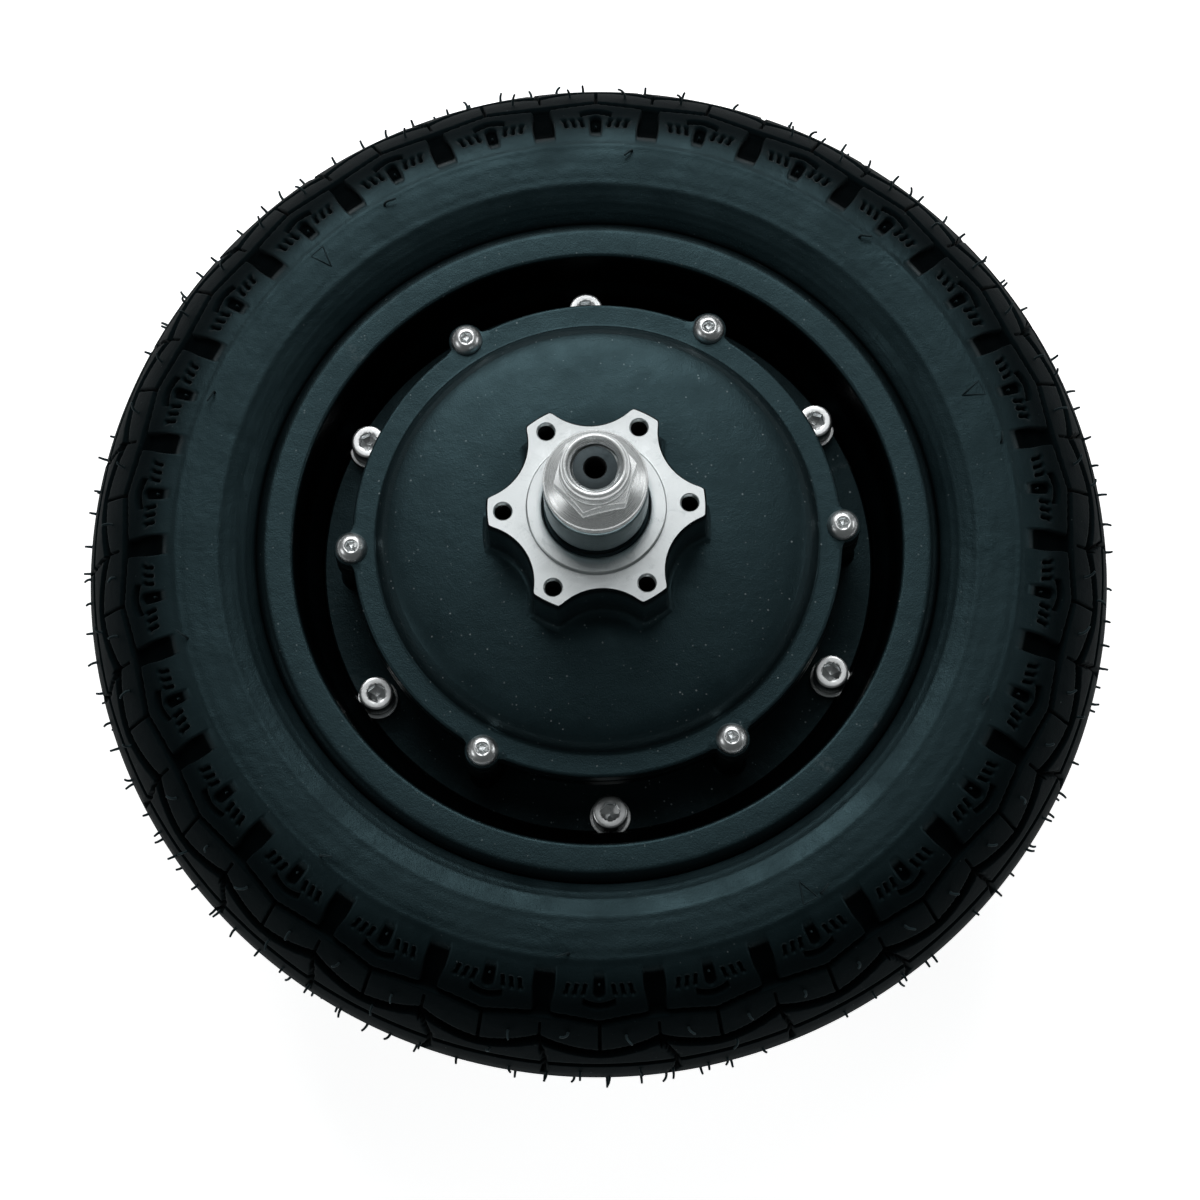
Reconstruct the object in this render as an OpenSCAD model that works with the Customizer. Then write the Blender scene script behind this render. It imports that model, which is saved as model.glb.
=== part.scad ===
// Geared hub motor wheel: pneumatic tyre on a split-web rim, bolted to a
// planetary hub motor with a six-bolt brake disc mount on its side cover.
// The axle runs along Z, the disc side faces +Z, and Z = 0 is the middle of the tyre.

/* [Tyre] */
// Outside diameter of the tyre over the tread
tyre_d = 254; // [250:0.5:258]
// Overall width of the tyre section
tyre_w = 54.4; // [53:0.1:56]
// Number of tread pitches around the tyre
tread_n = 26; // [20:1:32]
// Depth of the tread grooves
tread_depth = 2.2; // [1:0.1:2.8]

/* [Rim] */
// Bead seat diameter
bead_seat_d = 152; // [151.6:0.1:152.4]
// Diameter over the rim flanges
rim_flange_d = 166.8; // [165.8:0.1:167.2]
// Distance from the wheel centre to the outer face of a rim flange
rim_face = 23.7; // [23.5:0.1:24.2]
// Inner diameter of the flat face on each rim flange
rim_mouth_d = 150; // [149.4:0.1:150.4]

/* [Motor shell] */
// Outside diameter of the side cover and of the shell's top flange
cover_d = 118.8; // [118:0.1:120]
// Height of the flat ring of the cover above the wheel centre
cover_ring_z = 29.9; // [29.7:0.1:30.2]
// Inner diameter of the flat ring of the cover
cover_ring_in_d = 107.6; // [107:0.1:108.2]
// Height of the cover's raised panel where it meets the disc mount
cover_panel_z = 37.6; // [37:0.1:38.5]
// Bolt circle of the cover screws
cover_screw_pcd = 119; // [118.6:0.1:119.6]
// Bolt circle of the screws that hold the rim to the shell
rim_screw_pcd = 128.6; // [128.2:0.1:129]

/* [Brake disc mount] */
// Bolt circle of the brake disc
disc_pcd = 44; // [44:0.1:44.2]
// Tapping diameter of the brake disc holes
disc_hole_d = 4.2; // [4.1:0.1:4.6]
// Height of the brake disc face above the wheel centre
disc_face_z = 56; // [55.5:0.1:56.5]
// Diameter of the pilot that centres the brake disc
pilot_d = 33; // [32.6:0.1:34]
// Height of the pilot above the disc face
pilot_h = 1.5; // [1.2:0.1:2]
// Diameter over the six lobes
star_d = 52; // [51:0.1:52.4]

/* [Axle] */
// Thread diameter at the disc side
axle_disc_d = 12; // [12:0.1:12.2]
// Thread diameter at the cable side
axle_cable_d = 14; // [14:0.1:14.2]
// Width across the flats of the cable side end
axle_flats = 10; // [10:0.1:11]
// Height of the axle's disc side end above the wheel centre
axle_top = 88; // [87:0.1:88.4]
// Bore for the motor leads
lead_bore_d = 7; // [6.6:0.1:7]
// Width across flats of the disc side nut
nut_af = 17; // [16.5:0.1:18]

/* [Gears] */
// Gear module
gear_m = 1; // [1:0.01:1]
// Teeth on the sun gear
sun_n = 21; // [21:3:21]
// Teeth on each planet gear
planet_n = 36; // [36:1:36]
// Teeth thinned from each flank pair for backlash
backlash = 0.09; // [0.06:0.01:0.14]

/* [Hidden] */
ring_n = sun_n + 2*planet_n;
centre_d = gear_m*(sun_n + planet_n)/2;
PA = 20;
tr = tyre_d/2;
tw = tyre_w/2;
bs = bead_seat_d/2;
fr = rim_flange_d/2;
mr = rim_mouth_d/2;
cr = cover_d/2;
ci = cover_ring_in_d/2;
csr = cover_screw_pcd/2;
rsr = rim_screw_pcd/2;
floor_z = 5.3;      // top of the shell's rim flange
web_top = 1.3;      // joint between shell flange and rim web
web_bot = -3.3;
shell_top = 25.2;
cover_bot = 25.7;
end_z = 90;         // half length over everything
nut_z = 75;         // seat of the disc side nut
old_c = -60;        // cable side drop-out face
$fn = 96;

// ---------- helpers ----------
// all points but the last, which lies on the middle plane
function part(p) = [for (i = [0:len(p)-2]) p[i]];
function mirz(p) = [for (i = [len(p)-1:-1:0]) [p[i][0], -p[i][1]]];
function inv(a) = tan(a)*180/PI - a;
function half_at(n, r, b) = 90/n + b/(gear_m*n)*180/PI + inv(PA) - inv(acos(min(1, gear_m*n/2*cos(PA)/r)));
// closed outline of a gear (b < 0) or of the spaces of a ring gear (b > 0)
function gear_pts(n, r0, r1, b, k = 4) =
  let (rb = gear_m*n/2*cos(PA), rs = max(r0, rb + 0.001))
  [for (i = [0:n-1]) let (a = 360*i/n)
    for (p = concat(
      r0 < rb ? [[r0, -half_at(n, rs, b)]] : [],
      [for (j = [0:k]) let (r = rs + (r1 - rs)*j/k) [r, -half_at(n, r, b)]],
      [for (j = [k:-1:0]) let (r = rs + (r1 - rs)*j/k) [r, half_at(n, r, b)]],
      r0 < rb ? [[r0, half_at(n, rs, b)]] : []))
    [p[0]*cos(a + p[1]), p[0]*sin(a + p[1])]];
module ring(r1, r2, z1, z2) {
  rotate_extrude() translate([r1, z1]) square([r2 - r1, z2 - z1]);
}
module around(n, a0 = 0) { for (i = [0:n-1]) rotate([0, 0, a0 + 360*i/n]) children(); }
module hex(af, h) { cylinder(d = af/cos(30), h = h, $fn = 6); }

// ---------- tyre ----------
k = tw/27.2;
e = tr - 127;
tyre_out = [[76.15, 13.6*k], [76.15, 18.9], [76.6, 19.5], [77.6, 19.9], [82.2, 19.9], [83.4, 20.1], [84.1, 20.9],
  [85.0, 22.7], [87.0, 24.7*k], [90.2, 26.2*k], [94.0, 27.0*k], [98.0, 27.2*k], [102.0, 26.9*k], [105.6, 26.2*k],
  [109.0, 25.0*k], [112.2, 23.4*k], [115.4, 21.2*k], [118.4, 18.2*k], [121.0 + e, 14.8*k],
  [123.2 + e, 11.2*k], [125.0 + e, 7.4*k], [126.4 + e, 3.6*k], [tr, 0]];
tyre_in = [[79.6, 12.4*k], [82.4, 14.6*k], [85.0, 18.6*k], [88.6, 21.8*k], [93.0, 23.4*k], [98.0, 23.8*k],
  [103.0, 23.2*k], [108.0, 21.2*k], [112.4, 18.0*k], [116.0, 13.6*k], [118.4 + e, 8.4*k], [119.6 + e, 3.6*k], [119.8 + e, 0]];
module groove(r, z, a, w, d) {
  rotate_extrude() translate([r, z]) rotate(a) translate([-d, -w/2]) square([d + 3, w]);
}
module tyre() color("#1b2427") difference() {
  $fn = 40;
  rotate_extrude() polygon(concat(tyre_out, mirz(part(tyre_out)), [for (p = tyre_in) [p[0], -p[1]]], [for (i = [len(tyre_in)-2:-1:0]) tyre_in[i]]));
  for (s = [-1, 1]) {
    groove(116.3, s*20.4*k, s*52, 1.3, tread_depth);
    groove(121.2 + e, s*14.6*k, s*33, 2.6, tread_depth);
  }
  groove(tr, 0, 0, 1.6, tread_depth);
  for (s = [-1, 1]) around(tread_n, 180/tread_n)
    translate([110.9, 0, s*24.2*k]) rotate([0, -s*62, 0]) translate([-1.4, -1.9, -6.6]) cube([6, 3.8, 13.2]);
}
tube_pts = [[72.6, 0], [72.6, 5.6], [76.4, 9.4], [79.9, 11.6*k], [82.2, 13.8*k], [85.0, 17.9*k], [88.8, 21.1*k], [93.1, 22.7*k],
  [98.0, 23.1*k], [102.8, 22.5*k], [107.6, 20.6*k], [111.9, 17.5*k], [115.4, 13.2*k], [117.7 + e, 8.2*k], [118.9 + e, 3.5*k], [119.1 + e, 0]];
module inner_tube() color("#20282b") difference() {
  rotate_extrude() polygon(concat(tube_pts, mirz(part(tube_pts))));
  rotate_extrude() polygon([for (p = concat(tube_pts, mirz(part(tube_pts)))) [97 + (p[0] - 97)*0.94, p[1]*0.93]]);
  rotate([0, 0, 200]) translate([70, 0, -8]) rotate([0, 90, 0]) cylinder(r = 2.6, h = 9, $fn = 32);
}
module rim_tape() color("#7b3f30") difference() {
  ring(71.35, 72.1, -12.0, 6.8);
  rotate([0, 0, 200]) translate([68, 0, -8]) rotate([0, 90, 0]) cylinder(r = 4.3, h = 9, $fn = 48);
}
// bent valve on the cable side
module valve_stem() color("#b9a15a") rotate([0, 0, 200]) {
  difference() {
    union() {
      translate([62.5, 0, -8]) rotate([0, 90, 0]) cylinder(r = 3.9, h = 9.4, $fn = 48);
      translate([71.9, 0, -8]) rotate([0, 90, 0]) cylinder(r = 2.5, h = 2.3, $fn = 48);
      translate([62.5, 0, -8]) sphere(r = 3.9, $fn = 48);
      translate([62.5, 0, -26]) cylinder(r = 3.9, h = 18, $fn = 48);
      translate([62.5, 0, -31]) cylinder(r = 2.6, h = 5, $fn = 48);
    }
    translate([62.5, 0, -35]) cylinder(r = 1.3, h = 27, $fn = 32);
    translate([62.5, 0, -8]) rotate([0, 90, 0]) cylinder(r = 1.3, h = 13, $fn = 32);
  }
}
module valve_locknut() color("#9aa3a6") rotate([0, 0, 200]) translate([66.42, 0, -8]) rotate([0, 90, 0]) rotate([0, 0, 30]) difference() {
  hex(9, 1.2);
  translate([0, 0, -1]) cylinder(r = 3.95, h = 5, $fn = 48);
}
module valve_cap() color("#15191a") rotate([0, 0, 200]) translate([62.5, 0, 0]) difference() {
  union() {
    translate([0, 0, -34]) cylinder(r = 3.9, h = 7.8, $fn = 48);
    around(12) translate([3.8, 0, -33.2]) cylinder(r = 0.45, h = 6.4, $fn = 16);
  }
  translate([0, 0, -32]) cylinder(r = 2.65, h = 20, $fn = 48);
}

// ---------- rim ----------
rim_top_in = [[56.1, web_top], [68.4, web_top], [68.4, 7.2], [68.9, 8.5], [70.2, 9.7], [72.0, 10.8], [72.9, 12.2],
  [73.2, 14.0], [73.8, 20.6], [74.1, 22.8], [mr - 0.55, rim_face - 0.25], [mr, rim_face]];
rim_top_out = [[fr - 2.7, rim_face], [fr - 1.5, rim_face - 0.3], [fr - 0.6, rim_face - 0.9], [fr - 0.1, rim_face - 1.7], [fr, rim_face - 2.5],
  [fr - 0.3, 20.5], [fr - 1.2, 20.05], [82.0, 20.0], [77.6, 20.0], [76.5, 19.6], [bs, 18.9], [bs, 12.6], [75.0, 10.6], [72.0, 7.7], [71.3, 6.9]];
rim_bot_out = [[71.3, -12.3], [72.2, -12.9], [75.4, -13.5], [bs, -14.2], [bs, -18.9], [76.5, -19.6], [77.6, -20.0], [82.0, -20.0],
  [fr - 1.2, -20.05], [fr - 0.3, -20.5], [fr, 2.5 - rim_face], [fr - 0.1, 1.7 - rim_face], [fr - 0.6, 0.9 - rim_face], [fr - 1.5, 0.3 - rim_face], [fr - 2.7, -rim_face]];
rim_bot_in = [[mr, -rim_face], [mr - 0.55, 0.25 - rim_face], [74.1, -22.8], [73.8, -20.6], [73.2, -16.6], [72.6, -15.6], [69.6, -14.8], [68.5, -13.8],
  [68.3, -12.6], [68.3, web_bot - 0.8], [67.5, web_bot], [56.1, web_bot]];
module rim() color("#232c2f") difference() {
  rotate_extrude() polygon(concat(rim_top_in, rim_top_out, rim_bot_out, rim_bot_in));
  around(6, 30) translate([rsr, 0, -10]) cylinder(r = 2.55, h = 20, $fn = 48);
  around(6, 30) translate([rsr, 0, floor_z]) cylinder(r = 5.3, h = 8.2, $fn = 64);
  rotate([0, 0, 200]) translate([66, 0, -8]) rotate([0, 90, 0]) cylinder(r = 4.1, h = 9, $fn = 48);
}

// ---------- motor shell ----------
shell_out = [[cr - 0.4, shell_top], [cr, shell_top - 0.4], [cr, 20.9], [cr - 0.8, 20.2], [56.0, 18.4], [55.5, 17.4],
  [55.5, 6.6], [55.9, 5.7], [56.8, floor_z], [67.6, floor_z], [68.1, floor_z - 0.5], [68.1, web_top + 0.05],
  [56.0, web_top + 0.05], [56.0, -3.8], [55.5, -4.4], [55.5, -25.0], [54.9, -27.4], [53.4, -29.4], [51.2, -30.6], [48.6, -31.0],
  [30.0, -32.4], [24.5, -33.4], [22.3, -34.6], [21.2, -36.6], [20.6, -40.6], [20.0, -41.2]];
shell_in = [[13.0, -41.2], [13.0, -35.0], [15.02, -35.0], [15.02, -28.0], [18.5, -27.6], [22, -27.2], [30, -27.0], [47.0, -26.6], [49.0, -25.6],
  [49.6, -23.6], [49.6, 10.9], [51.0, 10.9], [51.0, shell_top]];
module ears(r, z1, z2) { around(6) translate([csr, 0, z1]) cylinder(r = r, h = z2 - z1, $fn = 48); }
module hub_shell() color("#1d2528") difference() {
  union() {
    rotate_extrude() polygon(concat(shell_out, shell_in));
    difference() {
      union() {
        ears(4.35, 17, shell_top);
        around(6) translate([csr, 0, floor_z - 1]) cylinder(r = 3.6, h = 13, $fn = 48);
      }
      translate([0, 0, -5]) cylinder(r = 53, h = 40);
    }
  }
  around(6) translate([csr, 0, 14]) cylinder(r = 2.05, h = 20, $fn = 48);
  around(6, 30) translate([rsr, 0, -1]) cylinder(r = 2.8, h = 9, $fn = 48);
}
module star(h) linear_extrude(height = h) difference() {
  circle(r = star_d/2, $fn = 180);
  for (i = [0:5]) rotate(30 + 60*i) translate([34.75, 0]) circle(r = 14.55, $fn = 120);
}
cover_out = [[14, cover_panel_z], [27.5, cover_panel_z], [34, cover_panel_z - 0.35], [41, cover_panel_z - 1.1], [46.5, cover_panel_z - 1.95],
  [48.6, cover_panel_z - 2.4], [50.3, cover_panel_z - 3.1], [51.7, cover_panel_z - 4.2], [52.6, cover_panel_z - 5.4],
  [ci - 0.55, cover_ring_z + 1.0], [ci - 0.25, cover_ring_z + 0.3], [ci + 0.2, cover_ring_z],
  [cr - 0.5, cover_ring_z], [cr, cover_ring_z - 0.5], [cr, cover_bot]];
cover_in = [[50.9, cover_bot], [50.9, 24.0], [50.6, 23.7], [47.6, 23.7], [47.6, 27.0], [47.0, 29.4], [45.4, 31.0], [41, 32.2], [34, 33.1], [27.5, 33.5], [14, 33.6]];
module side_cover() color("#263034") difference() {
  union() {
    rotate_extrude() polygon(concat(cover_out, cover_in));
    translate([0, 0, 34]) star(disc_face_z - 34);
    rotate_extrude() polygon([[8, 40], [15.6, 40], [pilot_d/2, disc_face_z - 1], [pilot_d/2, disc_face_z + pilot_h - 0.3], [pilot_d/2 - 0.3, disc_face_z + pilot_h], [8, disc_face_z + pilot_h]]);
    difference() {
      ears(4.35, cover_bot, cover_ring_z);
      translate([0, 0, 20]) cylinder(r = 54.5, h = 20);
    }
  }
  translate([0, 0, 30]) cylinder(r = 14.02, h = 20);
  translate([0, 0, 40]) cylinder(r = 12.75, h = 20);
  around(6) translate([csr, 0, 20]) cylinder(r = 2.2, h = 20, $fn = 48);
  around(6) translate([disc_pcd/2, 0, disc_face_z - 14]) cylinder(d = disc_hole_d, h = 20, $fn = 48);
}
module cover_gasket() color("#3a3d3c") difference() {
  union() {
    ring(51.2, cr - 0.2, shell_top + 0.02, cover_bot - 0.02);
    difference() {
      around(6) translate([csr, 0, shell_top + 0.02]) cylinder(r = 4.2, h = cover_bot - shell_top - 0.04, $fn = 48);
      cylinder(r = 54, h = 40);
    }
  }
  around(6) translate([csr, 0, 20]) cylinder(r = 2.3, h = 20, $fn = 48);
}

// ---------- fasteners ----------
module button_screw(d, dk, kh, af, l) difference() {
  union() {
    rotate_extrude() polygon(concat([[0, 0], [dk/2 - 0.15, 0], [dk/2, 0.2]],
      [for (i = [0:7]) let (t = 12 + 68*i/7) [dk/2*cos(t)*1.01, kh*sin(t)/sin(80)*0.98 + 0.04]], [[0, kh]]));
    translate([0, 0, -l]) cylinder(d = d, h = l + 0.1, $fn = 48);
  }
  translate([0, 0, kh - kh*0.6]) hex(af, kh);
}
module cap_screw(d, dk, kh, af, l) difference() {
  union() {
    rotate_extrude() polygon([[0, 0], [dk/2 - 0.2, 0], [dk/2, 0.2], [dk/2, kh - 0.5], [dk/2 - 0.12, kh - 0.18], [dk/2 - 0.4, kh], [0, kh]]);
    translate([0, 0, -l]) cylinder(d = d, h = l + 0.1, $fn = 48);
  }
  translate([0, 0, kh*0.5]) hex(af, kh);
}
module cover_screws() color("#c9cfd0") around(6) translate([csr, 0, cover_ring_z + 0.02]) rotate([0, 0, 12]) button_screw(4, 7.6, 2.2, 2.5, 12);
module rim_screws() color("#c9cfd0") around(6, 30) translate([rsr, 0, floor_z + 2.36]) rotate([0, 0, 20]) cap_screw(5, 8.5, 5, 4, 11);
module spring_washers() color("#b4bbbd") around(6, 30) translate([rsr, 0, floor_z + 1.06]) difference() {
  cylinder(r = 4.3, h = 1.26, $fn = 64);
  translate([0, 0, -1]) cylinder(r = 2.6, h = 4, $fn = 48);
  rotate([0, 0, 80]) translate([2, -0.35, -1]) cube([4, 0.7, 4]);
}
module flat_washers() color("#c4cacb") around(6, 30) translate([rsr, 0, floor_z + 0.02]) difference() {
  cylinder(r = 5, h = 1, $fn = 64);
  translate([0, 0, -1]) cylinder(r = 2.65, h = 4, $fn = 48);
}

// ---------- seals and bearings ----------
module seal(r1, r2, z1, z2, up) rotate_extrude() polygon(up
  ? [[r1 + 1.0, z1], [r2, z1], [r2, z2], [r2 - 1.2, z2], [r1 + 1.3, z2 - 0.9], [r1, z2 - 0.3], [r1, z2 - 1.4], [r1 + 1.0, z1 + 1.2]]
  : [[r1 + 1.0, z2], [r1 + 1.0, z2 - 1.2], [r1, z1 + 1.4], [r1, z1 + 0.3], [r1 + 1.3, z1 + 0.9], [r2 - 1.2, z1], [r2, z1], [r2, z2]]);
module disc_side_seal() color("#101414") seal(9.05, 12.7, 50.6, 56.2, true);
module cable_side_seal() color("#101414") seal(10.05, 12.95, -40.6, -35.4, false);
// deep groove ball bearing: inner race, outer race, ball set
module inner_race(ri, ro, z, w, rb) let (rm = (ri + ro)/2) difference() {
  ring(ri, rm - rb*0.45, z, z + w);
  rotate_extrude() translate([rm, z + w/2]) circle(r = rb + 0.04, $fn = 48);
}
module outer_race(ri, ro, z, w, rb) let (rm = (ri + ro)/2) difference() {
  ring(rm + rb*0.45, ro, z, z + w);
  rotate_extrude() translate([rm, z + w/2]) circle(r = rb + 0.04, $fn = 48);
}
module balls(ri, ro, z, w, rb, n) let (rm = (ri + ro)/2) around(n) translate([rm, 0, z + w/2]) sphere(r = rb, $fn = 48);
// ball cage that keeps the balls together
module cage(ri, ro, z, w, rb, n) let (rm = (ri + ro)/2) difference() {
  ring(rm - rb*0.3, rm + rb*0.3, z + w/2 - rb*0.75, z + w/2 + rb*0.75);
  around(n) translate([rm, 0, z + w/2]) sphere(r = rb - 0.02, $fn = 48);
}
module disc_bearing_inner_race() color("#aeb6b8") inner_race(7.55, 14, 43, 7, 2);
module disc_bearing_outer_race() color("#aeb6b8") outer_race(7.55, 14, 43, 6.9, 2);
module disc_bearing_balls() color("#d5dadb") { balls(7.55, 14, 43, 7, 2, 9); cage(7.55, 14, 43, 7, 2, 9); }
module cable_bearing_inner_race() color("#aeb6b8") inner_race(8.55, 15, -34.95, 7, 2);
module cable_bearing_outer_race() color("#aeb6b8") outer_race(8.55, 15, -34.95, 7, 2);
module cable_bearing_balls() color("#d5dadb") { balls(8.55, 15, -34.95, 7, 2, 10); cage(8.55, 15, -34.95, 7, 2, 10); }
module rotor_bearing_inner_race() color("#aeb6b8") inner_race(7.55, 12, 1, 5, 1.35);
module rotor_bearing_outer_race() color("#aeb6b8") outer_race(7.55, 12, 1, 5, 1.35);
module rotor_bearing_balls() color("#d5dadb") { balls(7.55, 12, 1, 5, 1.35, 11); cage(7.55, 12, 1, 5, 1.35, 11); }

// ---------- axle ----------
axle_pts = [[0, axle_top], [axle_disc_d/2 - 1.1, axle_top], [axle_disc_d/2, axle_top - 1.1], [axle_disc_d/2, 50.6], [7.1, 50.6], [7.5, 50.2],
  [7.5, 0.96], [9, 0.96], [9, -27.9], [8.5, -27.9], [8.5, -35.2], [axle_cable_d/2, -35.2],
  [axle_cable_d/2, -87.2], [axle_cable_d/2 - 1.2, -88.4], [0, -88.4]];
module axle() color("#4a5052") difference() {
  rotate_extrude() polygon(axle_pts);
  translate([0, 0, axle_top - 14]) cylinder(r = 2.5, h = 20, $fn = 48);
  translate([0, 0, axle_top - 0.7]) cylinder(r1 = 2.5, r2 = 3.2, h = 0.71, $fn = 48);
  translate([0, 0, -100]) cylinder(d = lead_bore_d, h = 79, $fn = 64);
  translate([0, 0, -21]) rotate([0, 90, 160]) cylinder(r = 3.1, h = 20, $fn = 48);
  for (s = [0, 180]) rotate([0, 0, s]) translate([-20, axle_flats/2, -100]) cube([40, 10, 40.2]);
  translate([7.2, -1.5, -16]) cube([4, 3, 12]);
}
// flange nut with a plain collar; the hexagon is chamfered where it meets the collar
module disc_side_nut() color("#d3d8d9") translate([0, 0, nut_z]) difference() {
  union() {
    rotate_extrude() polygon([[4, 0], [11.6, 0], [12.0, 0.4], [12.1, 1.0], [12.1, 2.8], [11.8, 3.4], [11.2, 3.8], [8.1, 5.6], [4, 5.6]]);
    rotate([0, 0, 11]) intersection() {
      translate([0, 0, 1]) hex(nut_af, 9.2);
      rotate_extrude() polygon([[0, 0], [13, 0], [13, 5], [9.95, 8.2], [8.3, 10.2], [0, 10.2]]);
    }
    rotate_extrude() polygon([[4, 9], [8.1, 9], [8.1, 13.4], [7.95, 14.3], [7.5, 14.85], [7.0, 15], [4, 15]]);
  }
  translate([0, 0, -1]) cylinder(d = axle_disc_d + 0.1, h = 20, $fn = 64);
  translate([0, 0, 13.6]) cylinder(r1 = axle_disc_d/2, r2 = axle_disc_d/2 + 1.0, h = 1.5, $fn = 64);
}
module disc_side_spacer() color("#aab3b4") rotate_extrude() polygon([[7.55, 50.02], [9, 50.02], [9, 60.6], [11.7, 60.6], [12.15, 61.0], [12.2, 62],
  [12.2, 73.6], [11.9, 74.6], [11.3, nut_z - 0.02], [6.05, nut_z - 0.02], [6.05, 50.65], [7.55, 50.65]]);
module cable_side_spacer() color("#aab3b4") rotate_extrude() polygon([[7.05, -35.3], [7.05, old_c], [11.5, old_c], [12, old_c + 0.5],
  [12, -43.5], [11.5, -43], [10, -43], [10, -35.3]]);
module torque_washer() color("#b9c0c1") difference() {
  union() {
    translate([0, 0, old_c - 3.02]) cylinder(r = 13, h = 3, $fn = 96);
    translate([0, -4, old_c - 3.02]) cube([21, 8, 3]);
    translate([18, -4, old_c - 3.02]) cube([3, 8, 9]);
  }
  intersection() {
    translate([0, 0, -70]) cylinder(d = axle_cable_d + 0.1, h = 20, $fn = 64);
    translate([-20, -axle_flats/2 - 0.05, -70]) cube([40, axle_flats + 0.1, 20]);
  }
}
module cable_side_nut() color("#d3d8d9") translate([0, 0, old_c - 3.04]) rotate([180, 0, 0]) difference() {
  union() {
    rotate_extrude() polygon([[5, 0], [13.2, 0], [13.6, 0.4], [13.6, 1.4], [13.0, 2.2], [9.4, 3.4], [5, 3.4]]);
    rotate([0, 0, 12]) intersection() {
      hex(19, 12);
      rotate_extrude() polygon([[0, 0], [13, 0], [13, 10.4], [9.6, 12], [0, 12]]);
    }
  }
  translate([0, 0, -1]) cylinder(d = axle_cable_d + 0.1, h = 20, $fn = 64);
}
module lead_grommet() color("#15191a") rotate_extrude() polygon([[2.75, -76.0], [3.45, -76.0], [3.45, -88.45], [5.3, -88.45], [5.3, -89.4], [4.7, 0 - end_z], [2.75, 0 - end_z]]);

// ---------- motor ----------
slots = 18;
module stator_core() color("#5d6568") translate([0, 0, -18]) linear_extrude(height = 20) difference() {
  union() {
    difference() { circle(r = 25, $fn = 120); circle(r = 20.02, $fn = 120); }
    for (i = [0:slots-1]) rotate(360*i/slots) {
      translate([24.5, -1.6]) square([11.2, 3.2]);
      intersection() {
        difference() { circle(r = 37.5, $fn = 180); circle(r = 34.8, $fn = 180); }
        polygon([[30, -30*tan(8.2)], [40, -40*tan(8.2)], [40, 40*tan(8.2)], [30, 30*tan(8.2)]]);
      }
    }
  }
}
module coil(r1, r2, w1, w2, z1, z2, t) difference() {
  translate([0, 0, z1]) linear_extrude(height = z2 - z1) polygon([[r1, -w1], [r2, -w2], [r2, w2], [r1, w1]]);
  translate([r1 - 1, -t, z1 + 2]) cube([r2 - r1 + 2, 2*t, z2 - z1 - 4]);
}
module stator_windings() color("#b5693a") around(slots) coil(26.2, 34.2, 3.9, 5.3, -21.6, 5.6, 1.95);
module slot_liners() color("#e4e0cf") around(slots) difference() {
  translate([25.6, -1.93, -19.55]) cube([9.0, 3.86, 21.1 + 2.0]);
  translate([20, -1.63, -18.02]) cube([20, 3.26, 20.04]);
}
module stator_hub() color("#8f989a") difference() {
  union() {
    ring(9.02, 12.6, -18, 0);
    ring(17.4, 20.0, -18, 0);
    around(6) translate([11.5, -2, -17]) cube([7, 4, 16]);
  }
  translate([7, -1.52, -16.02]) cube([4, 3.04, 12.04]);
}
module stator_key() color("#9aa3a6") translate([7.22, -1.48, -15.98]) cube([3.2, 2.96, 11.9]);
module hall_board() color("#1e5b3a") difference() {
  translate([0, 0, -24.8]) union() {
    intersection() {
      ring(21, 35, 0, 1.2);
      linear_extrude(height = 2) polygon([[0, 0], [50, -50*tan(38)], [50, 50*tan(38)]]);
    }
    for (a = [-24, 0, 24]) rotate([0, 0, a]) translate([30, -1.6, 1.1]) cube([2, 3.2, 0.8]);
  }
  for (a = [-33, 33]) rotate([0, 0, a]) translate([24, 0, -26]) cylinder(r = 1, h = 4, $fn = 32);
}
module one_way_clutch() color("#8b9496") difference() {
  ring(9.4, 10.5, 25.4, 39.6);
  around(10) translate([9.02, 0, 26.6]) cylinder(r = 1.5, h = 11.8, $fn = 32);
}
module clutch_rollers() color("#d5dadb") around(10) translate([8.96, 0, 26.8]) cylinder(r = 1.4, h = 11.4, $fn = 32);
module planet_carrier() color("#747d80") difference() {
  union() {
    ring(10.52, 13, 24, 40);
    translate([0, 0, 24]) linear_extrude(height = 4) difference() {
      union() {
        circle(r = 20, $fn = 120);
        for (i = [0:2]) rotate(120*i) { translate([centre_d, 0]) circle(r = 8.5, $fn = 60); translate([8, -8.5]) square([20.5, 17]); }
      }
      circle(r = 12, $fn = 96);
    }
  }
  around(3) translate([centre_d, 0, 20]) cylinder(r = 3.02, h = 20, $fn = 48);
}
module planet_pins() color("#c3c9ca") around(3) translate([centre_d, 0, 0]) difference() {
  translate([0, 0, 9.8]) cylinder(r = 3, h = 18.2, $fn = 48);
  difference() { translate([0, 0, 10.5]) cylinder(r = 4, h = 0.7, $fn = 48); translate([0, 0, 10]) cylinder(r = 2.6, h = 2, $fn = 48); }
}
module pin_circlips() color("#50575a") around(3) translate([centre_d, 0, 10.55]) difference() {
  cylinder(r = 4.4, h = 0.6, $fn = 48);
  translate([0, 0, -1]) cylinder(r = 2.65, h = 3, $fn = 48);
  translate([-1.6, -6, -1]) cube([3.2, 6, 3]);
}
module thrust_washer() color("#b48a3c") ring(7.6, 10.2, 23.8, 24.9);
module bearing_spacer() color("#9aa3a6") ring(7.55, 9.3, 40.3, 42.95);
module rotor_can() color("#646c6f") rotate_extrude() polygon([[41.2, -22], [43.8, -22], [43.8, 8.2], [43.0, 9], [9.6, 9], [9.6, 6.4],
  [12.02, 6.4], [12.02, 0.9], [14.6, 0.9], [14.6, 5.4], [15.4, 6], [41.2, 6]]);
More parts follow.
